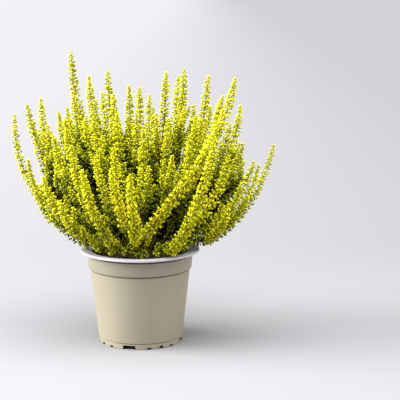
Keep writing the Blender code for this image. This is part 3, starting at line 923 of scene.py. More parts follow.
@dataclass
class PeatBed:
    """The peat that fills the pot, with crumbs, fibres and bark fines on its top."""

    top: float = 88.0 * MM
    mound: float = 1.6 * MM
    lump: float = 1.1 * MM
    lump_size: float = 9.0 * MM
    grain: float = 0.55 * MM
    grain_size: float = 2.6 * MM
    grain_shift: tuple = (7.0, 3.0, 1.0)
    radius: float = 51.0 * MM
    play: float = 0.3 * MM
    waist_range: tuple = (-0.7 * MM, 1.6 * MM)
    collar_rise: float = 0.9 * MM
    edge_flare: float = 0.4 * MM
    crumbs: int = 1500
    crumb_smallest: float = 0.5 * MM
    crumb_largest: float = 2.1 * MM
    crumb_size_power: float = 2.5
    crumb_roughness: float = 0.35
    crumb_flattest: float = 0.55
    crumb_breadth: float = 1.35
    margin: float = 1.5 * MM
    lift: float = 0.25
    most_tilt: float = 0.35
    fibres: int = 160
    fibre_length: float = 6.0 * MM
    fibre_width: float = 0.28 * MM
    fibre_height: float = 0.2 * MM
    fibre_shortest: float = 0.4
    pale_power: int = 2
    red_share: float = 0.2
    red_least: float = 0.3
    steps: int = 128
    rings: int = 46
    smooth_angle: float = math.radians(40)
    seed: int = 5

    def surface(self, x: float, y: float) -> float:
        """Return the height of the peat's top.

        Args:
            x: A place to the right of the pot's axis.
            y: Its distance behind the axis.

        Returns:
            The height there.
        """
        place = Vector((x, y, 0.0))
        lump = noise.noise(place / self.lump_size)
        grain = noise.noise(place / self.grain_size + Vector(self.grain_shift))
        mound = self.mound * (1.0 - (math.hypot(x, y) / self.radius) ** 2)
        return self.top + mound + self.lump * lump + self.grain * grain

    def body(self, pot: NurseryPot) -> bpy.types.Object:
        """Draw the peat's body: a disc for its foot, its side against the wall, and the rings of its top.

        Args:
            pot: The pot that holds the peat.

        Returns:
            The body.
        """
        gap = pot.wall + self.play
        foot = pot.foot_band + 2 * pot.wall + self.play
        ledge = pot.height - pot.ledge_drop + self.play
        collar = pot.height - pot.collar_foot_drop + self.collar_rise
        edge = pot.collar_foot_radius - gap + self.edge_flare
        sides = [
            (pot.body_radius(foot) - gap, foot),
            *((pot.body_top_radius - pot.ledge_groove - gap, ledge + rise) for rise in self.waist_range),
            (pot.collar_foot_radius - gap, collar),
            (edge, self.top),
        ]
        tops = [(edge * (1.0 - index / self.rings), self.top) for index in range(1, self.rings)]
        peat = draw_rings(sides + tops, self.steps)
        for vert in peat.data.vertices:
            if vert.co.z > self.top - MERGE:
                vert.co.z = self.surface(vert.co.x, vert.co.y)
        write_vectors(peat.data, "crumb", np.zeros((len(peat.data.vertices), 3)))
        return peat

    def crumb_shape(self) -> tuple[np.ndarray, np.ndarray]:
        """Model one crumb, an uneven lump of a few faces.

        Returns:
            Its corners and its triangles.
        """
        select_only()
        bpy.ops.mesh.primitive_ico_sphere_add(subdivisions=1, radius=1.0)
        lump = bpy.context.object
        bpy.ops.object.mode_set(mode="EDIT")
        bpy.ops.mesh.select_all(action="SELECT")
        bpy.ops.transform.vertex_random(offset=self.crumb_roughness, seed=self.seed)
        bpy.ops.object.mode_set(mode="OBJECT")
        return take_shape(lump)

    def scatter(self) -> Shape:
        """Spread the crumbs and fibres over the peat.

        Returns:
            All of them, with the share of pale and of red at their corners.
        """
        draw = np.random.default_rng(self.seed)
        corners, triangles = self.crumb_shape()
        count = self.crumbs + self.fibres
        angle = draw.uniform(0.0, math.tau, count)
        reach = (self.radius - self.margin) * np.sqrt(draw.uniform(0.0, 1.0, count))
        x, y = reach * np.cos(angle), reach * np.sin(angle)
        z = np.array([self.surface(*place) for place in zip(x, y)])
        share = draw.uniform(0, 1, count) ** self.crumb_size_power
        size = self.crumb_smallest + (self.crumb_largest - self.crumb_smallest) * share
        sizes = draw.uniform(self.crumb_flattest, 1.0, (count, 3)) * size[:, None] / self.crumb_breadth
        sizes[self.crumbs :] = (self.fibre_length / 2, self.fibre_width, self.fibre_height)
        sizes[self.crumbs :, 0] *= draw.uniform(self.fibre_shortest, 1.0, self.fibres)
        turn = draw.uniform(0.0, math.tau, count)
        tilt = draw.uniform(-self.most_tilt, self.most_tilt, count)
        ahead = np.stack((np.cos(turn) * np.cos(tilt), np.sin(turn) * np.cos(tilt), np.sin(tilt)), axis=1)
        side = np.stack((-np.sin(turn), np.cos(turn), np.zeros(count)), axis=1)
        axes = np.stack((ahead, side, np.cross(ahead, side)), axis=1)
        places = np.stack((x, y, z + self.lift * size), axis=1)
        tone = np.zeros((count, 3))
        tone[:, 0] = draw.uniform(0.0, 1.0, count) ** self.pale_power
        red = draw.uniform(0.0, 1.0, count) > 1.0 - self.red_share
        tone[:, 1] = red * draw.uniform(self.red_least, 1.0, count)
        return copies(corners, triangles, sizes[:, None], axes, places, np.repeat(tone, len(corners), axis=0))

    def build(self, pot: NurseryPot) -> bpy.types.Object:
        """Build the peat and put it on its body.

        Args:
            pot: The pot that holds it.

        Returns:
            The peat, which stands for the node "peat".
        """
        body = self.body(pot)
        bits = piece_from_arrays("crumbs", self.scatter(), "crumb")
        finish = PeatFinish().make()
        for part in (body, bits):
            part.data.materials.clear()
            part.data.materials.append(finish)
        peat = join(body, bits)
        bpy.ops.object.shade_smooth_by_angle(angle=self.smooth_angle)
        peat = in_place(peat, "peat_bed")
        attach(peat, "root")
        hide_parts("peat")
        LOG.info("%s: %d faces", peat.name, len(peat.data.polygons))
        return peat


class Axis(NamedTuple):
    """A shoot's middle line, the radii of its wood and foliage, and how much it stands out in front."""

    stem: int
    points: np.ndarray
    wood: float
    bare: float
    full: float
    front: float


def distances(path: np.ndarray) -> np.ndarray:
    """Return the distance along a path of each of its points."""
    steps = np.linalg.norm(np.diff(path, axis=0), axis=1)
    return np.concatenate(([0.0], np.cumsum(steps)))


def place_along(where: Any, along: np.ndarray, path: np.ndarray) -> np.ndarray:
    """Return the places on a path at the given distances along it."""
    return np.stack([np.interp(where, along, path[:, axis]) for axis in range(3)], axis=-1)


def bezier(start: Any, handle_a: Any, handle_b: Any, end: Any, count: int) -> np.ndarray:
    """Return points along a cubic curve.

    Args:
        start: Its first point.
        handle_a: Its first handle.
        handle_b: Its second handle.
        end: Its last point.
        count: The number of points.

    Returns:
        The points, one row each.
    """
    t = np.linspace(0.0, 1.0, count)[:, None]
    s = 1.0 - t
    return s**3 * start + 3 * s * s * t * handle_a + 3 * s * t * t * handle_b + t**3 * end


@dataclass
class Crown:
    """The plant's frame: where the stems rise from the peat and how their shoots run."""

    peat_top: float = 88.0 * MM
    pot_height: float = 95.0 * MM
    crown_radius: float = 36.0 * MM
    crown_rise: float = 4.0 * MM
    foot_spread: float = 0.25
    bent_foot_spread: float = 0.5
    foot_pitch: float = 7.5 * MM
    foot_rounds: int = 300
    foot_step: float = 0.3
    outward_handle: tuple = (0.48, 0.48, 0.18)
    upward_handle: tuple = (0.12, 0.12, 0.43)
    wood_radius: float = 1.15 * MM
    twig_radius: float = 0.95 * MM
    bare_foot: float = 9.0 * MM
    bare_twig: float = 7.0 * MM
    leaf_ramp: float = 9.0 * MM
    tip_radius: float = 1.8 * MM
    shoot_radius: float = 6.3 * MM
    slender_radius: float = 4.6 * MM
    taper_length: float = 36.0 * MM
    shoot_gap: float = 0.9 * MM
    path_points: int = 40
    room_rounds: int = 120
    room_step: float = 0.9
    smooth_rounds: int = 3
    smooth_share: float = 0.25
    pair_rounds: int = 10
    near_reach: float = 15.5 * MM
    tip_give: float = 0.25
    give_stretch: float = 1.12
    lip_keep_out: float = 47.0 * MM

    def wood_and_bare(self, shoot: Shoot) -> tuple[float, float]:
        """Return the radius of a shoot's wood and the length of its foot without leaves."""
        side = shoot.fork > 0.0
        return (self.twig_radius, self.bare_twig) if side else (self.wood_radius, self.bare_foot)

    def spread_feet(self) -> np.ndarray:
        """Place the stems' feet below their leading shoots and push them a pitch apart.

        Returns:
            The feet, one row of x and y each.
        """
        feet = np.array([stem[0][:2] for stem in STEMS]) * MM * self.foot_spread
        for stem, foot in zip(STEMS, feet):
            if stem[0].handles:
                foot[:] = np.array(stem[0].handles[0][:2]) * MM * self.bent_foot_spread
        for _ in range(self.foot_rounds):
            away = feet[:, None] - feet[None]
            gap = np.linalg.norm(away, axis=2) + np.eye(len(feet))
            push = np.clip(self.foot_pitch - gap, 0.0, None) * (1.0 - np.eye(len(feet)))
            feet += (away / gap[..., None] * push[..., None]).sum(axis=1) * self.foot_step
            reach = np.linalg.norm(feet, axis=1, keepdims=True)
            feet *= np.minimum(1.0, self.crown_radius / np.maximum(reach, MERGE))
        return feet

    def arch(self, start: np.ndarray, shoot: Shoot) -> np.ndarray:
        """Return a shoot's path: it leaves outwards and turns up towards its tip.

        Args:
            start: Where it starts.
            shoot: The shoot.

        Returns:
            The path's points.
        """
        tip = np.array(shoot[:3]) * MM
        if shoot.handles:
            handle_a, handle_b = (np.array(handle) * MM for handle in shoot.handles)
        else:
            way = tip - start
            handle_a = start + way * self.outward_handle
            handle_b = tip - way * self.upward_handle
        return bezier(start, handle_a, handle_b, tip, self.path_points)

    def lay_paths(self) -> list[list]:
        """Lay every shoot's path, side shoots after the one that they leave.

        Returns:
            Lists of the stem's number, the shoot and its points.
        """
        paths = []
        for number, (stem, foot) in enumerate(zip(STEMS, self.spread_feet())):
            start = np.array((foot[0], foot[1], self.peat_top + self.crown_rise))
            main = self.arch(start, stem[0])
            paths.append([number, stem[0], main])
            for side in stem[1:]:
                start = main[round(side.fork * (self.path_points - 1))]
                paths.append([number, side, self.arch(start, side)])
        return paths

    def leaf_reach(self, points: np.ndarray, shoot: Shoot) -> np.ndarray:
        """Return how far the leaves reach from a shoot's middle: none at its foot, slim at its tip.

        Args:
            points: The shoot's path.
            shoot: The shoot.

        Returns:
            The reach at each point.
        """
        along = distances(points)
        wood, bare = self.wood_and_bare(shoot)
        from_tip = along[-1] - along
        taper = 1.0 - np.exp(-from_tip / self.taper_length)
        leafy = self.tip_radius + (self.shoot_radius - self.tip_radius) * taper
        return wood + (leafy - wood) * np.clip((along - bare) / self.leaf_ramp, 0.0, 1.0)

    def near_pairs(
        self, points: np.ndarray, shoot_of: np.ndarray, stem_of: np.ndarray, at_fork: np.ndarray
    ) -> tuple[np.ndarray, ...]:
        """Find the path points that may touch, leaving out those beside a stem's own fork.

        Args:
            points: The points of all paths.
            shoot_of: The shoot that each belongs to.
            stem_of: The stem that each belongs to.
            at_fork: Whether each is beside its shoot's fork.

        Returns:
            The indices of the first and of the second point of each pair.
        """
        square = (points**2).sum(axis=1)
        gap = square[:, None] + square[None] - 2.0 * points @ points.T
        close = np.triu(gap < self.near_reach**2)
        close &= shoot_of[:, None] != shoot_of[None]
        close &= ~((stem_of[:, None] == stem_of[None]) & (at_fork[:, None] | at_fork[None]))
        return np.nonzero(close)

    def pushes(self, points: np.ndarray, radii: np.ndarray, pairs: tuple[np.ndarray, ...]) -> np.ndarray:
        """Return how far each point has to move to clear the points that it is paired with.

        Args:
            points: The points of all paths.
            radii: The reach of the leaves there.
            pairs: The pairs that may touch.

        Returns:
            A move for each point.
        """
        one, two = pairs
        away = points[one] - points[two]
        gap = np.maximum(np.linalg.norm(away, axis=1), MERGE)
        lack = np.clip(radii[one] + radii[two] + self.shoot_gap - gap, 0.0, None)
        step = away * (0.5 * lack / gap)[:, None]
        total = np.zeros_like(points)
        for axis in range(3):
            total[:, axis] += np.bincount(one, step[:, axis], len(points))
            total[:, axis] -= np.bincount(two, step[:, axis], len(points))
        hits = np.bincount(one, lack > 0, len(points)) + np.bincount(two, lack > 0, len(points))
        return 2.0 * total / np.maximum(1.0, hits)[:, None]

    def make_room(self, paths: list[list]) -> None:
        """Push the shoots' paths apart until their leaves clear each other and the lip of the pot.

        Args:
            paths: The paths, whose points are replaced.
        """
        points = np.array([path[2] for path in paths])
        fork = np.array([path[1].fork > 0.0 for path in paths])
        stem_of = np.repeat([path[0] for path in paths], self.path_points)
        shoot_of = np.repeat(np.arange(len(paths)), self.path_points)
        place = np.linspace(0.0, 1.0, self.path_points)
        give = np.sin(np.clip(place * self.give_stretch, 0.0, 1.0) * math.pi) ** 0.5
        give[0] = 0.0
        give[-1] = self.tip_give
        leading = {}
        for index, path in enumerate(paths):
            leading.setdefault(path[0], index)
        for step in range(self.room_rounds):
            radii = np.array([self.leaf_reach(line, path[1]) for line, path in zip(points, paths)])
            if step % self.pair_rounds == 0:
                along = np.array([distances(line) for line in points])
                at_fork = fork[:, None] & (along < self.bare_twig + self.leaf_ramp)
                pairs = self.near_pairs(points.reshape(-1, 3), shoot_of, stem_of, at_fork.reshape(-1))
            push = self.pushes(points.reshape(-1, 3), radii.reshape(-1), pairs).reshape(points.shape)
            reach = np.hypot(points[..., 0], points[..., 1])
            floor = self.pot_height + radii + self.shoot_gap
            push[..., 2] += np.clip(floor - points[..., 2], 0.0, None) * (reach > self.lip_keep_out)
            side, own = self.smooth_share, 1.0 - 2 * self.smooth_share
            for _ in range(self.smooth_rounds):
                push[:, 1:-1] = side * push[:, :-2] + own * push[:, 1:-1] + side * push[:, 2:]
            points += self.room_step * push * give[:, None]
            for index, (stem, shoot, _) in enumerate(paths):
                if shoot.fork > 0.0:
                    joint = points[leading[stem]][round(shoot.fork * (self.path_points - 1))]
                    points[index] += (joint - points[index, 0]) * (1.0 - place[:, None]) ** 3
        for path, moved in zip(paths, points):
            path[2] = moved

    def axes(self) -> list[Axis]:
        """Return the middle lines of all main shoots.

        Returns:
            The middle lines. Leading shoots have their foot just above the peat.
        """
        paths = self.lay_paths()
        self.make_room(paths)
        made = []
        for stem, shoot, points in paths:
            wood, bare = self.wood_and_bare(shoot)
            if shoot.fork == 0.0:
                bare = BARE_STEMS.get(stem, bare)
            full = self.slender_radius if stem in SLENDER_STEMS else self.shoot_radius
            made.append(Axis(stem, points, wood, bare, full, BRIGHT_STEMS.get(stem, 0.0)))
        return made


@dataclass
class Twigs:
    """Short twigs on the lower two thirds of the shoots, which close the inside of the crown."""

    first: float = 0.10
    last: float = 0.58
    pitch: float = 6.5 * MM
    back_pitch: float = 4.2 * MM
    pitch_range: tuple = (0.75, 1.25)
    look_ahead: float = 2.0 * MM
    slant: tuple = (0.3, 0.2, 1.0)
    turn: float = 2.4
    turn_sway: float = 0.4
    shortest: float = 14.0 * MM
    longest: float = 32.0 * MM
    foot_length: float = 1.15
    shorter_above: float = 0.5
    spread: float = math.radians(48)
    outward: float = 0.55
    upward: float = 0.45
    rise: float = 0.6
    foot_handle: float = 0.4
    tip_handle: float = 0.35
    wood: float = 0.45 * MM
    bare: float = 1.5 * MM
    full: float = 5.4 * MM
    points: int = 9
    lowest: float = 90.0 * MM
    rim_radius: float = 48.0 * MM
    rim_height: float = 100.0 * MM
    clearance: float = 0.4
    outline_heights: tuple = (92 * MM, 112 * MM, 130 * MM, 160 * MM, 200 * MM, 240 * MM)
    outline_radii: tuple = (54 * MM, 74 * MM, 90 * MM, 106 * MM, 116 * MM, 120 * MM)
    spray_room: float = 10.0 * MM
    spray_depth: float = 9.0 * MM
    front_depth: float = -8.0 * MM
    # The dark hollows between the front shoots: x, height, half width and half height
    hollows: tuple = (
        (18 * MM, 120 * MM, 15 * MM, 11 * MM),
        (-20 * MM, 158 * MM, 6 * MM, 8 * MM),
        (-40 * MM, 155 * MM, 6 * MM, 11 * MM),
        (71 * MM, 129 * MM, 8 * MM, 18 * MM),
        (-10 * MM, 123 * MM, 7 * MM, 18 * MM),
    )
    seed: int = 21

    def grow(self, shoots: list[Axis]) -> list[Axis]:
        """Return the twigs that leave the shoots.

        Args:
            shoots: The main shoots.

        Returns:
            A middle line for each twig.
        """
        draw = np.random.default_rng(self.seed)
        sprays = np.vstack([shoot.points for shoot in shoots if shoot.front > 0.5])
        made = []
        for shoot in shoots:
            if shoot.front:
                continue
            along = distances(shoot.points)
            pitch = self.back_pitch if shoot.points[:, 1].mean() > 0.0 else self.pitch
            where = max(self.first * along[-1], shoot.bare) + draw.uniform(0.0, pitch)
            turn = draw.uniform(0.0, math.tau)
            while where < self.last * along[-1]:
                turn += self.turn + draw.uniform(-self.turn_sway, self.turn_sway)
                twig = self.twig(shoot, along, where, turn, draw)
                if self.has_room(twig.points) and not self.hides(twig.points, sprays):
                    made.append(twig)
                where += pitch * draw.uniform(*self.pitch_range)
        return made

    def has_room(self, points: np.ndarray) -> bool:
        """Return whether a twig stays clear of the pot and the peat, and inside the crown's outline.

        Args:
            points: The twig's middle line.

        Returns:
            Whether it may grow.
        """
        reach = np.hypot(points[:, 0], points[:, 1])
        floor = np.where(reach > self.rim_radius, self.rim_height, self.lowest) + self.clearance * self.full
        outline = np.interp(points[:, 2], self.outline_heights, self.outline_radii)
        return not ((points[2:, 2] < floor[2:]).any() or (reach > outline).any())

    def hides(self, points: np.ndarray, sprays: np.ndarray) -> bool:
        """Return whether a twig would grow in front of a spray or close one of the hollows.

        Args:
            points: The twig's middle line.
            sprays: The middle lines of the sprays in front.

        Returns:
            Whether any of its points is in the way.
        """
        away = np.abs(points[:, None] - sprays[None])
        ahead = points[:, None, 1] < sprays[None, :, 1] + self.spray_depth
        if (ahead & (away[..., 0] < self.spray_room) & (away[..., 2] < self.spray_room)).any():
            return True
        in_front = points[:, 1] < self.front_depth
        for x, z, half_width, half_height in self.hollows:
            inside = ((points[:, 0] - x) / half_width) ** 2 + ((points[:, 2] - z) / half_height) ** 2 < 1.0
            if (inside & in_front).any():
                return True
        return False

    def twig(
        self, shoot: Axis, along: np.ndarray, where: float, turn: float, draw: np.random.Generator
    ) -> Axis:
        """Return a twig that leaves a shoot and bends up.

        Args:
            shoot: The shoot.
            along: The distances along it.
            where: The distance at which the twig leaves.
            turn: Its direction round the shoot.
            draw: The source of its random length.

        Returns:
            The twig's middle line.
        """
        start = place_along(where, along, shoot.points)
        ahead = unit(place_along(where + self.look_ahead, along, shoot.points) - start)
        across = unit(np.cross(ahead, self.slant))
        sideways = np.cross(ahead, across)
        out = across * math.cos(turn) + sideways * math.sin(turn)
        share = where / along[-1]
        length = draw.uniform(self.shortest, self.longest) * (self.foot_length - self.shorter_above * share)
        way = unit(ahead * math.cos(self.spread) + out * math.sin(self.spread))
        rise = unit(ahead + np.array((0.0, 0.0, self.rise)))
        end = start + length * unit(self.outward * way + self.upward * rise)
        handle_a = start + self.foot_handle * length * way
        handle_b = end - self.tip_handle * length * rise
        points = bezier(start, handle_a, handle_b, end, self.points)
        return Axis(shoot.stem, points, self.wood, self.bare, self.full, shoot.front)


@dataclass
class Fringe:
    """Short shoots from the nearest stem's foot: out over the rim of the pot, and up to close gaps behind."""

    # Millimetres, as the tips of the stems
    tips: tuple = (
        (-58, -30, 104), (-50, -38, 101), (-40, -46, 102), (-27, -50, 99), (16, -50, 100), (27, -52, 102),
        (38, -48, 100), (48, -40, 103), (66, -20, 106), (74, -8, 108), (86, -14, 113), (94, 0, 116),
        (-66, -8, 108), (70, 18, 108), (40, 58, 108), (54, 46, 110), (24, 64, 108), (8, 66, 107),
        (-10, 66, 108), (-28, 60, 109), (-52, 40, 108), (-62, 16, 112), (32, 50, 118), (0, 52, 118),
        (16, 56, 114), (44, 42, 117), (-18, 52, 117), (14, 44, 102), (21, 36, 104), (27, 43, 105),
        (8, 40, 107), (18, 30, 110), (2, 46, 103), (-8, 43, 104), (36, 38, 104), (46, 30, 105), (12, 34, 116),
        (10, 46, 96), (18, 48, 96), (26, 46, 96), (34, 42, 97), (2, 48, 97), (14, 38, 96), (22, 40, 97),
        (30, 34, 97), (40, 32, 98), (-7, -45, 99), (-2, -48, 97), (-14, -47, 98), (9, -49, 97),
        (17, -47, 101), (19, -50, 98), (4, -50, 96), (20, 14, 101), (28, 18, 102), (12, 16, 102),
        (20, 54, 101), (12, 52, 100), (28, 50, 101), (4, 52, 101), (14, 56, 122), (23, 54, 129), (7, 57, 131),
        (29, 52, 118), (17, 50, 138), (1, 57, 120), (-18, 47, 96), (-25, 45, 97), (-12, 50, 96),
        (-31, 41, 98), (-20, 52, 101), (-16, 48, 162), (36, 46, 164), (46, 52, 132), (-21, 50, 97),
        (-21, 43, 98), (5, 53, 113), (6, 47, 114), (16, 50, 97), (17, 42, 98), (-37, 44, 101), (44, 46, 114),
        (47, 43, 133), (-44, 43, 127), (64, 28, 112), (96, 22, 136), (103, 20, 152), (110, 18, 163),
        (90, 30, 168),
    )
    # Tips that count as front sprays, whose leaves get painted light
    bright_tips: tuple = ((-6, -44, 111), (0, -47, 114), (-1, -48, 107), (5, -47, 118))
    climb: float = 12.0 * MM
    out: tuple = (0.3, 0.75)
    up: tuple = (1.0, 0.4)
    start: int = 3
    wood: float = 0.45 * MM
    bare: float = 2.0 * MM
    full: float = 7.5 * MM
    points: int = 9

    def grow(self, shoots: list[Axis]) -> list[Axis]:
        """Return a middle line for each low shoot.

        Args:
            shoots: The main shoots.

        Returns:
            The low shoots' middle lines.
        """
        made = []
        for number, tip in enumerate(self.tips + self.bright_tips):
            end = np.array(tip) * MM
            front = 1.0 if number >= len(self.tips) else 0.0
            nearest = min(shoots, key=lambda shoot: np.linalg.norm(shoot.points[self.start] - end))
            start = nearest.points[self.start]
            handles = (
                start + out * (end - start) + np.array((0.0, 0.0, up * self.climb))
                for out, up in zip(self.out, self.up)
            )
            points = bezier(start, *handles, end, self.points)
            made.append(Axis(nearest.stem, points, self.wood, self.bare, self.full, front))
        return made


@dataclass
class ScaleLeaf:
    """One scale leaf, pointed at both ends and folded along its keel. Its length is one."""

    width: float = 0.53
    fold: float = 0.21
    shoulder: float = 0.50
    keel: float = 0.1

    def model(self) -> tuple[np.ndarray, np.ndarray]:
        """Model the leaf along Z, its hollow side towards +Y, from a three-sided point.

        Returns:
            Its corners and its triangles.
        """
        select_only()
        blade = 1.0 - self.shoulder
        root = self.width / math.sqrt(3.0)
        bpy.ops.mesh.primitive_cone_add(
            vertices=3, radius1=root, radius2=0.0, depth=blade, location=(0.0, 0.0, self.shoulder + blade / 2)
        )
        leaf = bpy.context.object
        bpy.ops.object.transform_apply(location=True, rotation=False, scale=False)
        bpy.ops.object.mode_set(mode="EDIT")
        pick(Part.CORNERS, lambda vert: vert.co.y > 0.5 * root)
        bpy.ops.transform.translate(value=(0.0, -root, -self.shoulder))
        pick(Part.CORNERS, lambda vert: abs(vert.co.x) > self.keel * self.width)
        bpy.ops.transform.translate(value=(0.0, self.fold + 0.5 * root, 0.0))
        bpy.ops.mesh.select_all(action="SELECT")
        bpy.ops.mesh.normals_make_consistent(inside=False)
        bpy.ops.object.mode_set(mode="OBJECT")
        return take_shape(leaf)


class Joints(NamedTuple):
    """The places on all shoots where a pair of leaf tufts grows, with the shoot's directions there."""

    place: np.ndarray
    ahead: np.ndarray
    across: np.ndarray
    sideways: np.ndarray
    reach: np.ndarray
    wood: np.ndarray
    from_tip: np.ndarray
    turn: np.ndarray
    stem: np.ndarray
    shoot: np.ndarray
    front: np.ndarray


class Buds(NamedTuple):
    """The small closed buds of leaves, one row each, with the direction that each points in.

    A bud with an age of one ends a tuft and has a leaf pair more than the others.
    """

    place: np.ndarray
    way: np.ndarray
    side: np.ndarray
    size: np.ndarray
    tone: np.ndarray
    age: np.ndarray
    stem: np.ndarray
    front: np.ndarray


class Leaves(NamedTuple):
    """All leaves as arrays, one row each."""

    place: np.ndarray
    axes: np.ndarray
    size: np.ndarray
    tone: np.ndarray
    age: np.ndarray
    stem: np.ndarray
    front: np.ndarray


def turned(one: np.ndarray, two: np.ndarray, angle: Any) -> np.ndarray:
    """Return directions turned from the first ones towards the second ones by an angle for each row."""
    return one * np.cos(angle)[:, None] + two * np.sin(angle)[:, None]


@dataclass
class Foliage:
    """The leaves: opposite tufts on every shoot, each a short twig with buds of crossed leaf pairs."""

    tip_reach: float = 2.2 * MM
    taper_length: float = 30.0 * MM
    leaf_ramp: float = 9.0 * MM
    first_joint: float = 1.2 * MM
    joint_pitch: float = 1.55 * MM
    pitch_per_reach: float = 0.30
    pitch_sway: float = 0.1
    wood_taper: float = 0.6
    joint_sway: float = 0.08
    turn_sway: float = math.radians(12)
    tuft_angle: float = math.radians(52)
    tuft_sway: float = math.radians(7)
    tip_closed: float = 0.45
    tip_length: float = 7.0 * MM
    tuft_foot: float = 0.6
    least_angle: float = 0.4
    tuft_overhang: float = 2.1 * MM
    tuft_range: tuple = (0.85, 1.12)
    longest_tuft: float = 5.5 * MM
    bud_pitch: float = 1.9 * MM
    side_rows: int = 2
    side_angle: float = math.radians(48)
    side_sway: float = 0.12
    side_offset: float = 1.1 * MM
    side_lowest: float = 0.2 * MM
    row_age: tuple = (1.0, 0.85, 0.5)
    sleeve_angle: float = math.radians(38)
    sleeve_age: float = 0.6
    sleeve_length: float = 80.0 * MM
    leaf_length: float = 3.2 * MM
    bud_size_range: tuple = (0.85, 1.12)
    slim_reach: float = 3.2 * MM
    slim_size: float = 0.74
    pair_open: tuple = (math.radians(14), math.radians(32), math.radians(50))
    pair_length: tuple = (1.0, 0.88, 0.75)
    pair_step: tuple = (0.05, -0.10, -0.30)
    pair_age: float = 0.22
    spin_sway: float = 0.3
    open_sway: float = 0.09
    leaf_size_range: tuple = (0.9, 1.1)
    shoot_tone_sway: float = 0.08
    bud_tone_sway: float = 0.17
    leaf_tone_sway: float = 0.07
    # Front sprays: larger leaves and painted light, both fading out above front_top
    front_scale: float = 1.15
    front_top: float = 205.0 * MM
    front_fade: float = 35.0 * MM
    front_painted_light: float = 0.22
    golden_share: float = 0.35
    golden_place: float = 42.0 * MM
    golden_width: float = 20.0 * MM
    golden_tone: float = 0.30
    voxel: float = 5.0 * MM
    margin: int = 3
    sky_rows: tuple = ((0.15, 0.8), (0.9, 1.0))
    sky_turns: int = 8
    sky_top: float = 1.6
    sky_steps: int = 14
    opacity: float = 42.0
    seed: int = 8

    def reach(self, axis: Axis, from_base: float, from_tip: float) -> float:
        """Return how far the leaves reach from the middle of a shoot.

        Args:
            axis: The shoot's middle line.
            from_base: The distance from its foot.
            from_tip: The distance from its tip.

        Returns:
            The reach there.
        """
        taper = 1.0 - math.exp(-from_tip / self.taper_length)
        leafy = self.tip_reach + (axis.full - self.tip_reach) * taper
        grown = min(max((from_base - axis.bare) / self.leaf_ramp, 0.0), 1.0)
        return axis.wood + (leafy - axis.wood) * grown

    def joints(self, axes: list[Axis]) -> Joints:
        """Walk every shoot from its tip down and note the places of its tufts.

        Args:
            axes: The middle lines of all shoots and twigs.

        Returns:
            The places, with the directions and sizes there.
        """
        draw = np.random.default_rng(self.seed)
        rows = []
        for number, axis in enumerate(axes):
            along = distances(axis.points)
            length = along[-1]
            where = length - self.first_joint
            spots = []
            while where > axis.bare:
                spots.append(where)
                pitch = self.joint_pitch + self.pitch_per_reach * self.reach(axis, where, length - where)
                where -= pitch * draw.uniform(1.0 - self.pitch_sway, 1.0 + self.pitch_sway)
            across = np.array((1.0, 0.0, 0.0))
            turn = draw.uniform(0.0, math.tau)
            for spot in spots:
                place, after, before = (
                    place_along(near, along, axis.points) for near in (spot, spot + MM, spot - MM)
                )
                ahead = unit(after - before)
                across = unit(across - ahead * across.dot(ahead))
                turn += QUARTER_TURN + draw.uniform(-self.joint_sway, self.joint_sway)
                row = Joints(
                    place=place,
                    ahead=ahead,
                    across=across,
                    sideways=np.cross(ahead, across),
                    reach=self.reach(axis, spot, length - spot),
                    wood=axis.wood * (1.0 - self.wood_taper * spot / length),
                    from_tip=length - spot,
                    turn=turn,
                    stem=axis.stem,
                    shoot=number,
                    front=axis.front * min(max((self.front_top - place[2]) / self.front_fade, 0.0), 1.0),
                )
                rows.append(row)
        return Joints(*(np.array(column) for column in zip(*rows)))

    def buds(self, joints: Joints) -> Buds:
        """Set two opposite tufts on every joint: a bud at the end of each, and pairs of buds below it.

        Args:
            joints: The joints of all shoots.

        Returns:
            The buds.
        """
        draw = np.random.default_rng(self.seed + 1)
        shoots = joints.shoot.max() + 1
        shoot_tone = draw.normal(0.0, self.shoot_tone_sway, shoots)
        joints = Joints(*(np.repeat(column, 2, axis=0) for column in joints))
        count = len(joints.place)
        turn = joints.turn + np.tile((0.0, math.pi), count // 2) + draw.normal(0.0, self.turn_sway, count)
        radial = turned(joints.across, joints.sideways, turn)
        near_tip = np.exp(-joints.from_tip / self.tip_length)
        angle = self.tuft_angle * (1.0 - self.tip_closed * near_tip) + draw.normal(0.0, self.tuft_sway, count)
        way = turned(joints.ahead, radial, angle)
        spare = (joints.reach - self.tuft_overhang) / np.sin(np.maximum(angle, self.least_angle))
        length = np.clip(spare * draw.uniform(*self.tuft_range, count), 0.0, self.longest_tuft)
        tangent = np.cross(joints.ahead, radial)
        bark = (self.tuft_foot * joints.wood)[:, None]
        base, foot = joints.place + radial * bark, joints.place + tangent * bark
        scale = 1.0 + (self.front_scale - 1.0) * joints.front
        scale *= np.clip(joints.reach / self.slim_reach, self.slim_size, 1.0)
        banded = draw.uniform(0.0, 1.0, shoots) < self.golden_share
        band = np.exp(-(((joints.from_tip - self.golden_place) / self.golden_width) ** 2))
        # Painted light: raising the front sprays' tone brightens their leaves and makes more of them golden
        tone = shoot_tone[joints.shoot] + self.front_painted_light * joints.front
        tone += self.golden_tone * band * banded[joints.shoot]
        rows = [(base + way * length[:, None], way, tangent, np.ones(count, bool), self.row_age[0])]
        for row in range(1, self.side_rows + 1):
            along = length - row * self.bud_pitch
            side = tangent if row % 2 else np.cross(way, tangent)
            for sign in (-1.0, 1.0):
                opened = self.side_angle + draw.normal(0.0, self.side_sway, count)
                aside = turned(way, sign * side, opened)
                place = base + way * along[:, None] + aside * self.side_offset
                across = turned(side, -sign * way, opened)
                rows.append((place, aside, across, along > self.side_lowest, self.row_age[row]))
        close = joints.ahead * math.cos(self.sleeve_angle) + tangent * math.sin(self.sleeve_angle)
        kept = (spare > 0.0) & (joints.from_tip < self.sleeve_length)
        rows.append((foot, close, np.cross(close, radial), kept, self.sleeve_age))
        made = []
        for place, aside, across, kept, age in rows:
            n = int(kept.sum())
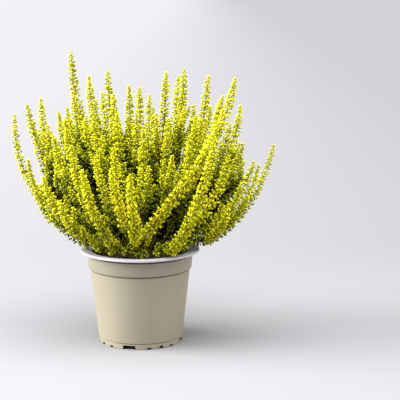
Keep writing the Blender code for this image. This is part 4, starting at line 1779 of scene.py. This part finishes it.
            buds = Buds(
                place=place[kept],
                way=aside[kept],
                side=across[kept],
                size=self.leaf_length * scale[kept] * draw.uniform(*self.bud_size_range, n),
                tone=tone[kept] + draw.normal(0.0, self.bud_tone_sway, n),
                age=np.full(n, age),
                stem=joints.stem[kept],
                front=joints.front[kept],
            )
            made.append(buds)
        return Buds(*(np.concatenate(column) for column in zip(*made)))

    def grow(self, joints: Joints) -> Leaves:
        """Grow crossed pairs of leaves for every bud: one on the bare wood, two on a tuft, three at its end.

        Args:
            joints: The joints of all shoots.

        Returns:
            The leaves.
        """
        buds = self.buds(joints)
        draw = np.random.default_rng(self.seed + 2)
        spins = draw.normal(0.0, self.spin_sway, len(buds.place))
        made = []
        for pair, (opening, share, step) in enumerate(zip(self.pair_open, self.pair_length, self.pair_step)):
            if pair > 0:
                full = (buds.age != self.sleeve_age) if pair == 1 else (buds.age == self.row_age[0])
                buds, spins = Buds(*(column[full] for column in buds)), spins[full]
            count = len(buds.place)
            upright = np.cross(buds.way, buds.side)
            for half in (0.0, math.pi):
                out = turned(buds.side, upright, spins + pair * QUARTER_TURN + half)
                opened = opening + draw.normal(0.0, self.open_sway, count)
                ahead = turned(buds.way, out, opened)
                hollow = buds.way * np.sin(opened)[:, None] - out * np.cos(opened)[:, None]
                leaves = Leaves(
                    place=buds.place + buds.way * (step * buds.size)[:, None],
                    axes=np.stack((np.cross(hollow, ahead), hollow, ahead), axis=1),
                    size=buds.size * share * draw.uniform(*self.leaf_size_range, count),
                    tone=buds.tone + draw.normal(0.0, self.leaf_tone_sway, count),
                    age=buds.age * (1.0 - self.pair_age * pair),
                    stem=buds.stem,
                    front=buds.front,
                )
                made.append(leaves)
        return Leaves(*(np.concatenate(column) for column in zip(*made)))

    def light(self, leaves: Leaves) -> np.ndarray:
        """Return how much of the sky each leaf sees through the others, from 0 inside the crown to 1.

        Args:
            leaves: All leaves.

        Returns:
            A share for each leaf.
        """
        low = leaves.place.min(axis=0) - self.margin * self.voxel
        cells = np.ceil((leaves.place.max(axis=0) + self.margin * self.voxel - low) / self.voxel).astype(int)
        index = ((leaves.place - low) / self.voxel).astype(int)
        density = np.zeros(cells)
        np.add.at(density, tuple(index.T), (leaves.size / self.leaf_length) ** 2)
        total = np.zeros(len(leaves.place))
        ways = [(0.0, 0.0, 1.0, self.sky_top)]
        for turn in range(self.sky_turns):
            for rise, weight in self.sky_rows:
                bearing = turn * math.tau / self.sky_turns
                flat = math.sqrt(1.0 - rise * rise)
                ways.append((flat * math.cos(bearing), flat * math.sin(bearing), rise, weight))
        for x, y, z, weight in ways:
            crossed = np.zeros(len(leaves.place))
            for step in range(1, self.sky_steps + 1):
                spot = leaves.place + np.array((x, y, z)) * step * self.voxel
                cell = ((spot - low) / self.voxel).astype(int)
                inside = ((cell >= 0) & (cell < cells)).all(axis=1)
                found = cell[inside]
                crossed[inside] += density[found[:, 0], found[:, 1], found[:, 2]]
            total += weight * np.exp(-crossed / self.opacity)
        return total / sum(way[3] for way in ways)


@dataclass
class Heather:
    """The plant: one piece for every stem, with its wood and its leaves."""

    wood_sides: int = 4
    wood_pitch: float = 6.0 * MM
    wood_taper: float = 0.72
    foot_depth: float = 12.0 * MM
    young_length: float = 45.0 * MM
    young_ramp: float = 6.0 * MM
    old_youth: float = 0.3
    core_share: float = 0.20
    core_rise: float = 14.0 * MM
    core_length: float = 80.0 * MM
    tip_share_places: tuple = (0.0, 0.50, 1.0)
    tip_shares: tuple = (0.06, 0.76, 1.0)
    age_power: float = 2.8
    middle_tone: float = 0.5
    dark_light: float = 0.15
    full_light: float = 0.68
    # Painted light on the front sprays: added to their share of sky, so they take the sunny colours
    spray_light: float = 0.8

    def wood(self, axis: Axis, leading: bool) -> Shape:
        """Return a shoot's wood, a slim tapered rod.

        Args:
            axis: The shoot's middle line.
            leading: Whether it stands in the peat.

        Returns:
            The rod, with the wood's youth at its corners.
        """
        path = axis.points
        if leading:
            path = np.vstack((path[0] - (0.0, 0.0, self.foot_depth), path))
        along = distances(path)
        spots = np.linspace(0.0, along[-1], max(3, int(along[-1] / self.wood_pitch)))
        line = place_along(spots, along, path)
        ahead = unit(np.gradient(line, axis=0))
        across = np.zeros_like(line)
        side = np.array((1.0, 0.0, 0.0))
        for index, way in enumerate(ahead):
            side = unit(side - way * side.dot(way))
            across[index] = side
        sideways = np.cross(ahead, across)
        from_tip = along[-1] - spots
        core = self.core_share * axis.full * (1.0 - np.exp(-from_tip / self.core_rise))
        core *= np.exp(-((from_tip / self.core_length) ** 2))
        radius = np.maximum(axis.wood * (1.0 - self.wood_taper * spots / along[-1]), core)
        sides = self.wood_sides
        angle = (np.arange(sides) * math.tau / sides)[:, None]
        ring = across[:, None] * np.cos(angle) + sideways[:, None] * np.sin(angle)
        corners = (line[:, None] + ring * radius[:, None, None]).reshape(-1, 3)
        foot, last = len(corners), len(corners) - sides
        corners = np.vstack((corners, line[0], line[-1] + ahead[-1] * radius[-1]))
        triangles = []
        for low in range(0, last, sides):
            for corner in range(low, low + sides):
                after = low + (corner + 1 - low) % sides
                triangles += [(corner, after, after + sides), (corner, after + sides, corner + sides)]
        for corner in range(sides):
            after = (corner + 1) % sides
            triangles += [(foot, after, corner), (foot + 1, last + corner, last + after)]
        from_tip = np.append(np.repeat(from_tip, sides), (along[-1], 0.0))
        values = np.zeros((len(corners), 3))
        leafy = np.clip((along[-1] - from_tip - axis.bare) / self.young_ramp, 0.0, 1.0)
        youth = self.old_youth + (1.0 - self.old_youth) * np.exp(-from_tip / self.young_length)
        values[:, 0] = leafy * youth
        return Shape(corners, np.array(triangles), values)

    def leafage(self, leaves: Leaves, light: np.ndarray, leaf: tuple[np.ndarray, np.ndarray]) -> Shape:
        """Copy the leaf to its places on one stem.

        Args:
            leaves: The stem's leaves.
            light: The light on each leaf.
            leaf: The leaf's corners and triangles.

        Returns:
            All copies, with the tip share, tone and light at their corners.
        """
        corners, triangles = leaf
        values = np.zeros((len(leaves.place), len(corners), 3))
        tip = np.interp(corners[:, 2], self.tip_share_places, self.tip_shares)
        youth = leaves.age[:, None] ** self.age_power
        values[..., 0] = np.clip(tip[None] * youth, 0.0, 1.0)
        values[..., 1] = np.clip(self.middle_tone + leaves.tone, 0.0, 1.0)[:, None]
        # Share of sky, painted as light and shade on the leaf; front sprays get painted light on top
        lit = (light - self.dark_light) / (self.full_light - self.dark_light)
        values[..., 2] = np.clip(lit + self.spray_light * leaves.front, 0.0, 1.0)[:, None]
        return copies(corners, triangles, leaves.size[:, None, None], leaves.axes, leaves.place, values)

    def stem_piece(
        self, name: str, leafage: Shape, rods: list[Shape], finishes: list[bpy.types.Material]
    ) -> bpy.types.Object:
        """Join one stem's leaves and wood to a piece and put it on its body.

        Args:
            name: The stem's node.
            leafage: The leaves.
            rods: The wood of each shoot.
            finishes: The leaves' material and the wood's.

        Returns:
            The piece, which stands for the stem's node.
        """
        starts = np.cumsum([0] + [len(shape.corners) for shape in (leafage, *rods)])
        shape = Shape(
            np.vstack([shape.corners for shape in (leafage, *rods)]),
            np.vstack([shape.triangles + start for shape, start in zip((leafage, *rods), starts)]),
            np.vstack([shape.values for shape in (leafage, *rods)]),
        )
        piece = piece_from_arrays(f"{name}_foliage", shape, "leaf")
        for finish in finishes:
            piece.data.materials.append(finish)
        slots = np.zeros(len(piece.data.polygons), np.int32)
        slots[len(leafage.triangles) :] = 1
        piece.data.polygons.foreach_set("material_index", slots)
        piece.data.update()
        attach(piece, "root")
        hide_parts(name)
        LOG.info("%s: %d faces", piece.name, len(piece.data.polygons))
        return piece

    def build(self) -> list[bpy.types.Object]:
        """Build every stem with its leaves.

        Returns:
            The pieces, each of which stands for a node "stem_NN".
        """
        shoots = Crown().axes()
        axes = shoots + Twigs().grow(shoots) + Fringe().grow(shoots)
        foliage = Foliage()
        leaves = foliage.grow(foliage.joints(axes))
        light = foliage.light(leaves)
        LOG.info("%d shoots and twigs, %d leaves", len(axes), len(leaves.place))
        leaf = ScaleLeaf().model()
        finishes = [LeafFinish().make(), BarkFinish().make()]
        pieces = []
        for stem in range(len(STEMS)):
            kept = leaves.stem == stem
            own = Leaves(*(column[kept] for column in leaves))
            leafage = self.leafage(own, light[kept], leaf)
            rods = [self.wood(axis, axis.wood == Crown.wood_radius) for axis in axes if axis.stem == stem]
            pieces.append(self.stem_piece(f"stem_{stem + 1:02d}", leafage, rods, finishes))
        return pieces


class Lamp(NamedTuple):
    """A far soft lamp: its direction from the plant, its watts per square metre and how wide it looks."""

    name: str
    bearing: tuple
    strength: float
    width: float
    colour: str


@dataclass
class Studio:
    """The pale floor, the soft lights and the camera."""

    floor_radius: float = 40.0
    floor_corners: int = 96
    lamps: tuple = (
        Lamp("key_softbox", (-0.87, -0.05, 0.37), 8.0, math.radians(46), "#fffaf2"),
        Lamp("top_softbox", (-0.08, -0.24, 1.0), 7.0, math.radians(70), "#fffdf8"),
        Lamp("fill_softbox", (0.80, -0.04, 0.42), 2.5, math.radians(60), "#fff4e6"),
    )
    sky: str = "#f3f3fa"
    ambient: float = 0.28
    lens: float = 117.0
    sensor: float = 36.0
    nearest: float = 0.01
    pitch: float = math.radians(9.65)
    camera: tuple = (0.0605, -1.288, 0.363)

    def floor(self) -> None:
        """Lay the floor, a disc so wide that it fills the picture to its top."""
        select_only()
        bpy.ops.mesh.primitive_circle_add(
            vertices=self.floor_corners, radius=self.floor_radius, fill_type="TRIFAN"
        )
        floor = bpy.context.object
        floor.name = "paper_floor"
        floor.data.materials.append(PaperFinish().make())

    def hang(self, lamp: Lamp) -> None:
        """Hang a lamp.

        Args:
            lamp: Its name and settings.
        """
        data = bpy.data.lights.new(lamp.name, "SUN")
        data.energy = lamp.strength
        data.angle = lamp.width
        data.color = linear(lamp.colour)[:3]
        hung = bpy.data.objects.new(lamp.name, data)
        bpy.context.scene.collection.objects.link(hung)
        hung.rotation_euler = (-Vector(lamp.bearing)).to_track_quat("-Z", "Y").to_euler()

    def light_sky(self) -> None:
        """Light the scene evenly from all sides."""
        world = bpy.data.worlds.new("studio")
        bpy.context.scene.world = world
        world.use_nodes = True
        background = world.node_tree.nodes["Background"]
        background.inputs["Color"].default_value = linear(self.sky)
        background.inputs["Strength"].default_value = self.ambient

    def aim(self) -> None:
        """Set up the camera, level from side to side and looking down a little."""
        data = bpy.data.cameras.new("camera")
        data.sensor_width = self.sensor
        data.lens = self.lens
        data.clip_start = self.nearest
        camera = bpy.data.objects.new("camera", data)
        bpy.context.scene.collection.objects.link(camera)
        camera.location = self.camera
        camera.rotation_euler = (QUARTER_TURN - self.pitch, 0.0, 0.0)
        bpy.context.scene.camera = camera
        bpy.context.scene.view_settings.view_transform = "Standard"

    def build(self) -> None:
        """Build the stage, the lights and the camera."""
        self.floor()
        for lamp in self.lamps:
            self.hang(lamp)
        self.light_sky()
        self.aim()


def main() -> None:
    """Build the studio and the potted heather, and note the sizes."""
    logging.basicConfig(level=logging.INFO, format="%(message)s")
    Studio().build()
    pot = NurseryPot()
    pot.build()
    PeatBed().build(pot)
    Heather().build()
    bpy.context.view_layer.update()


if __name__ == "__main__":
    main()
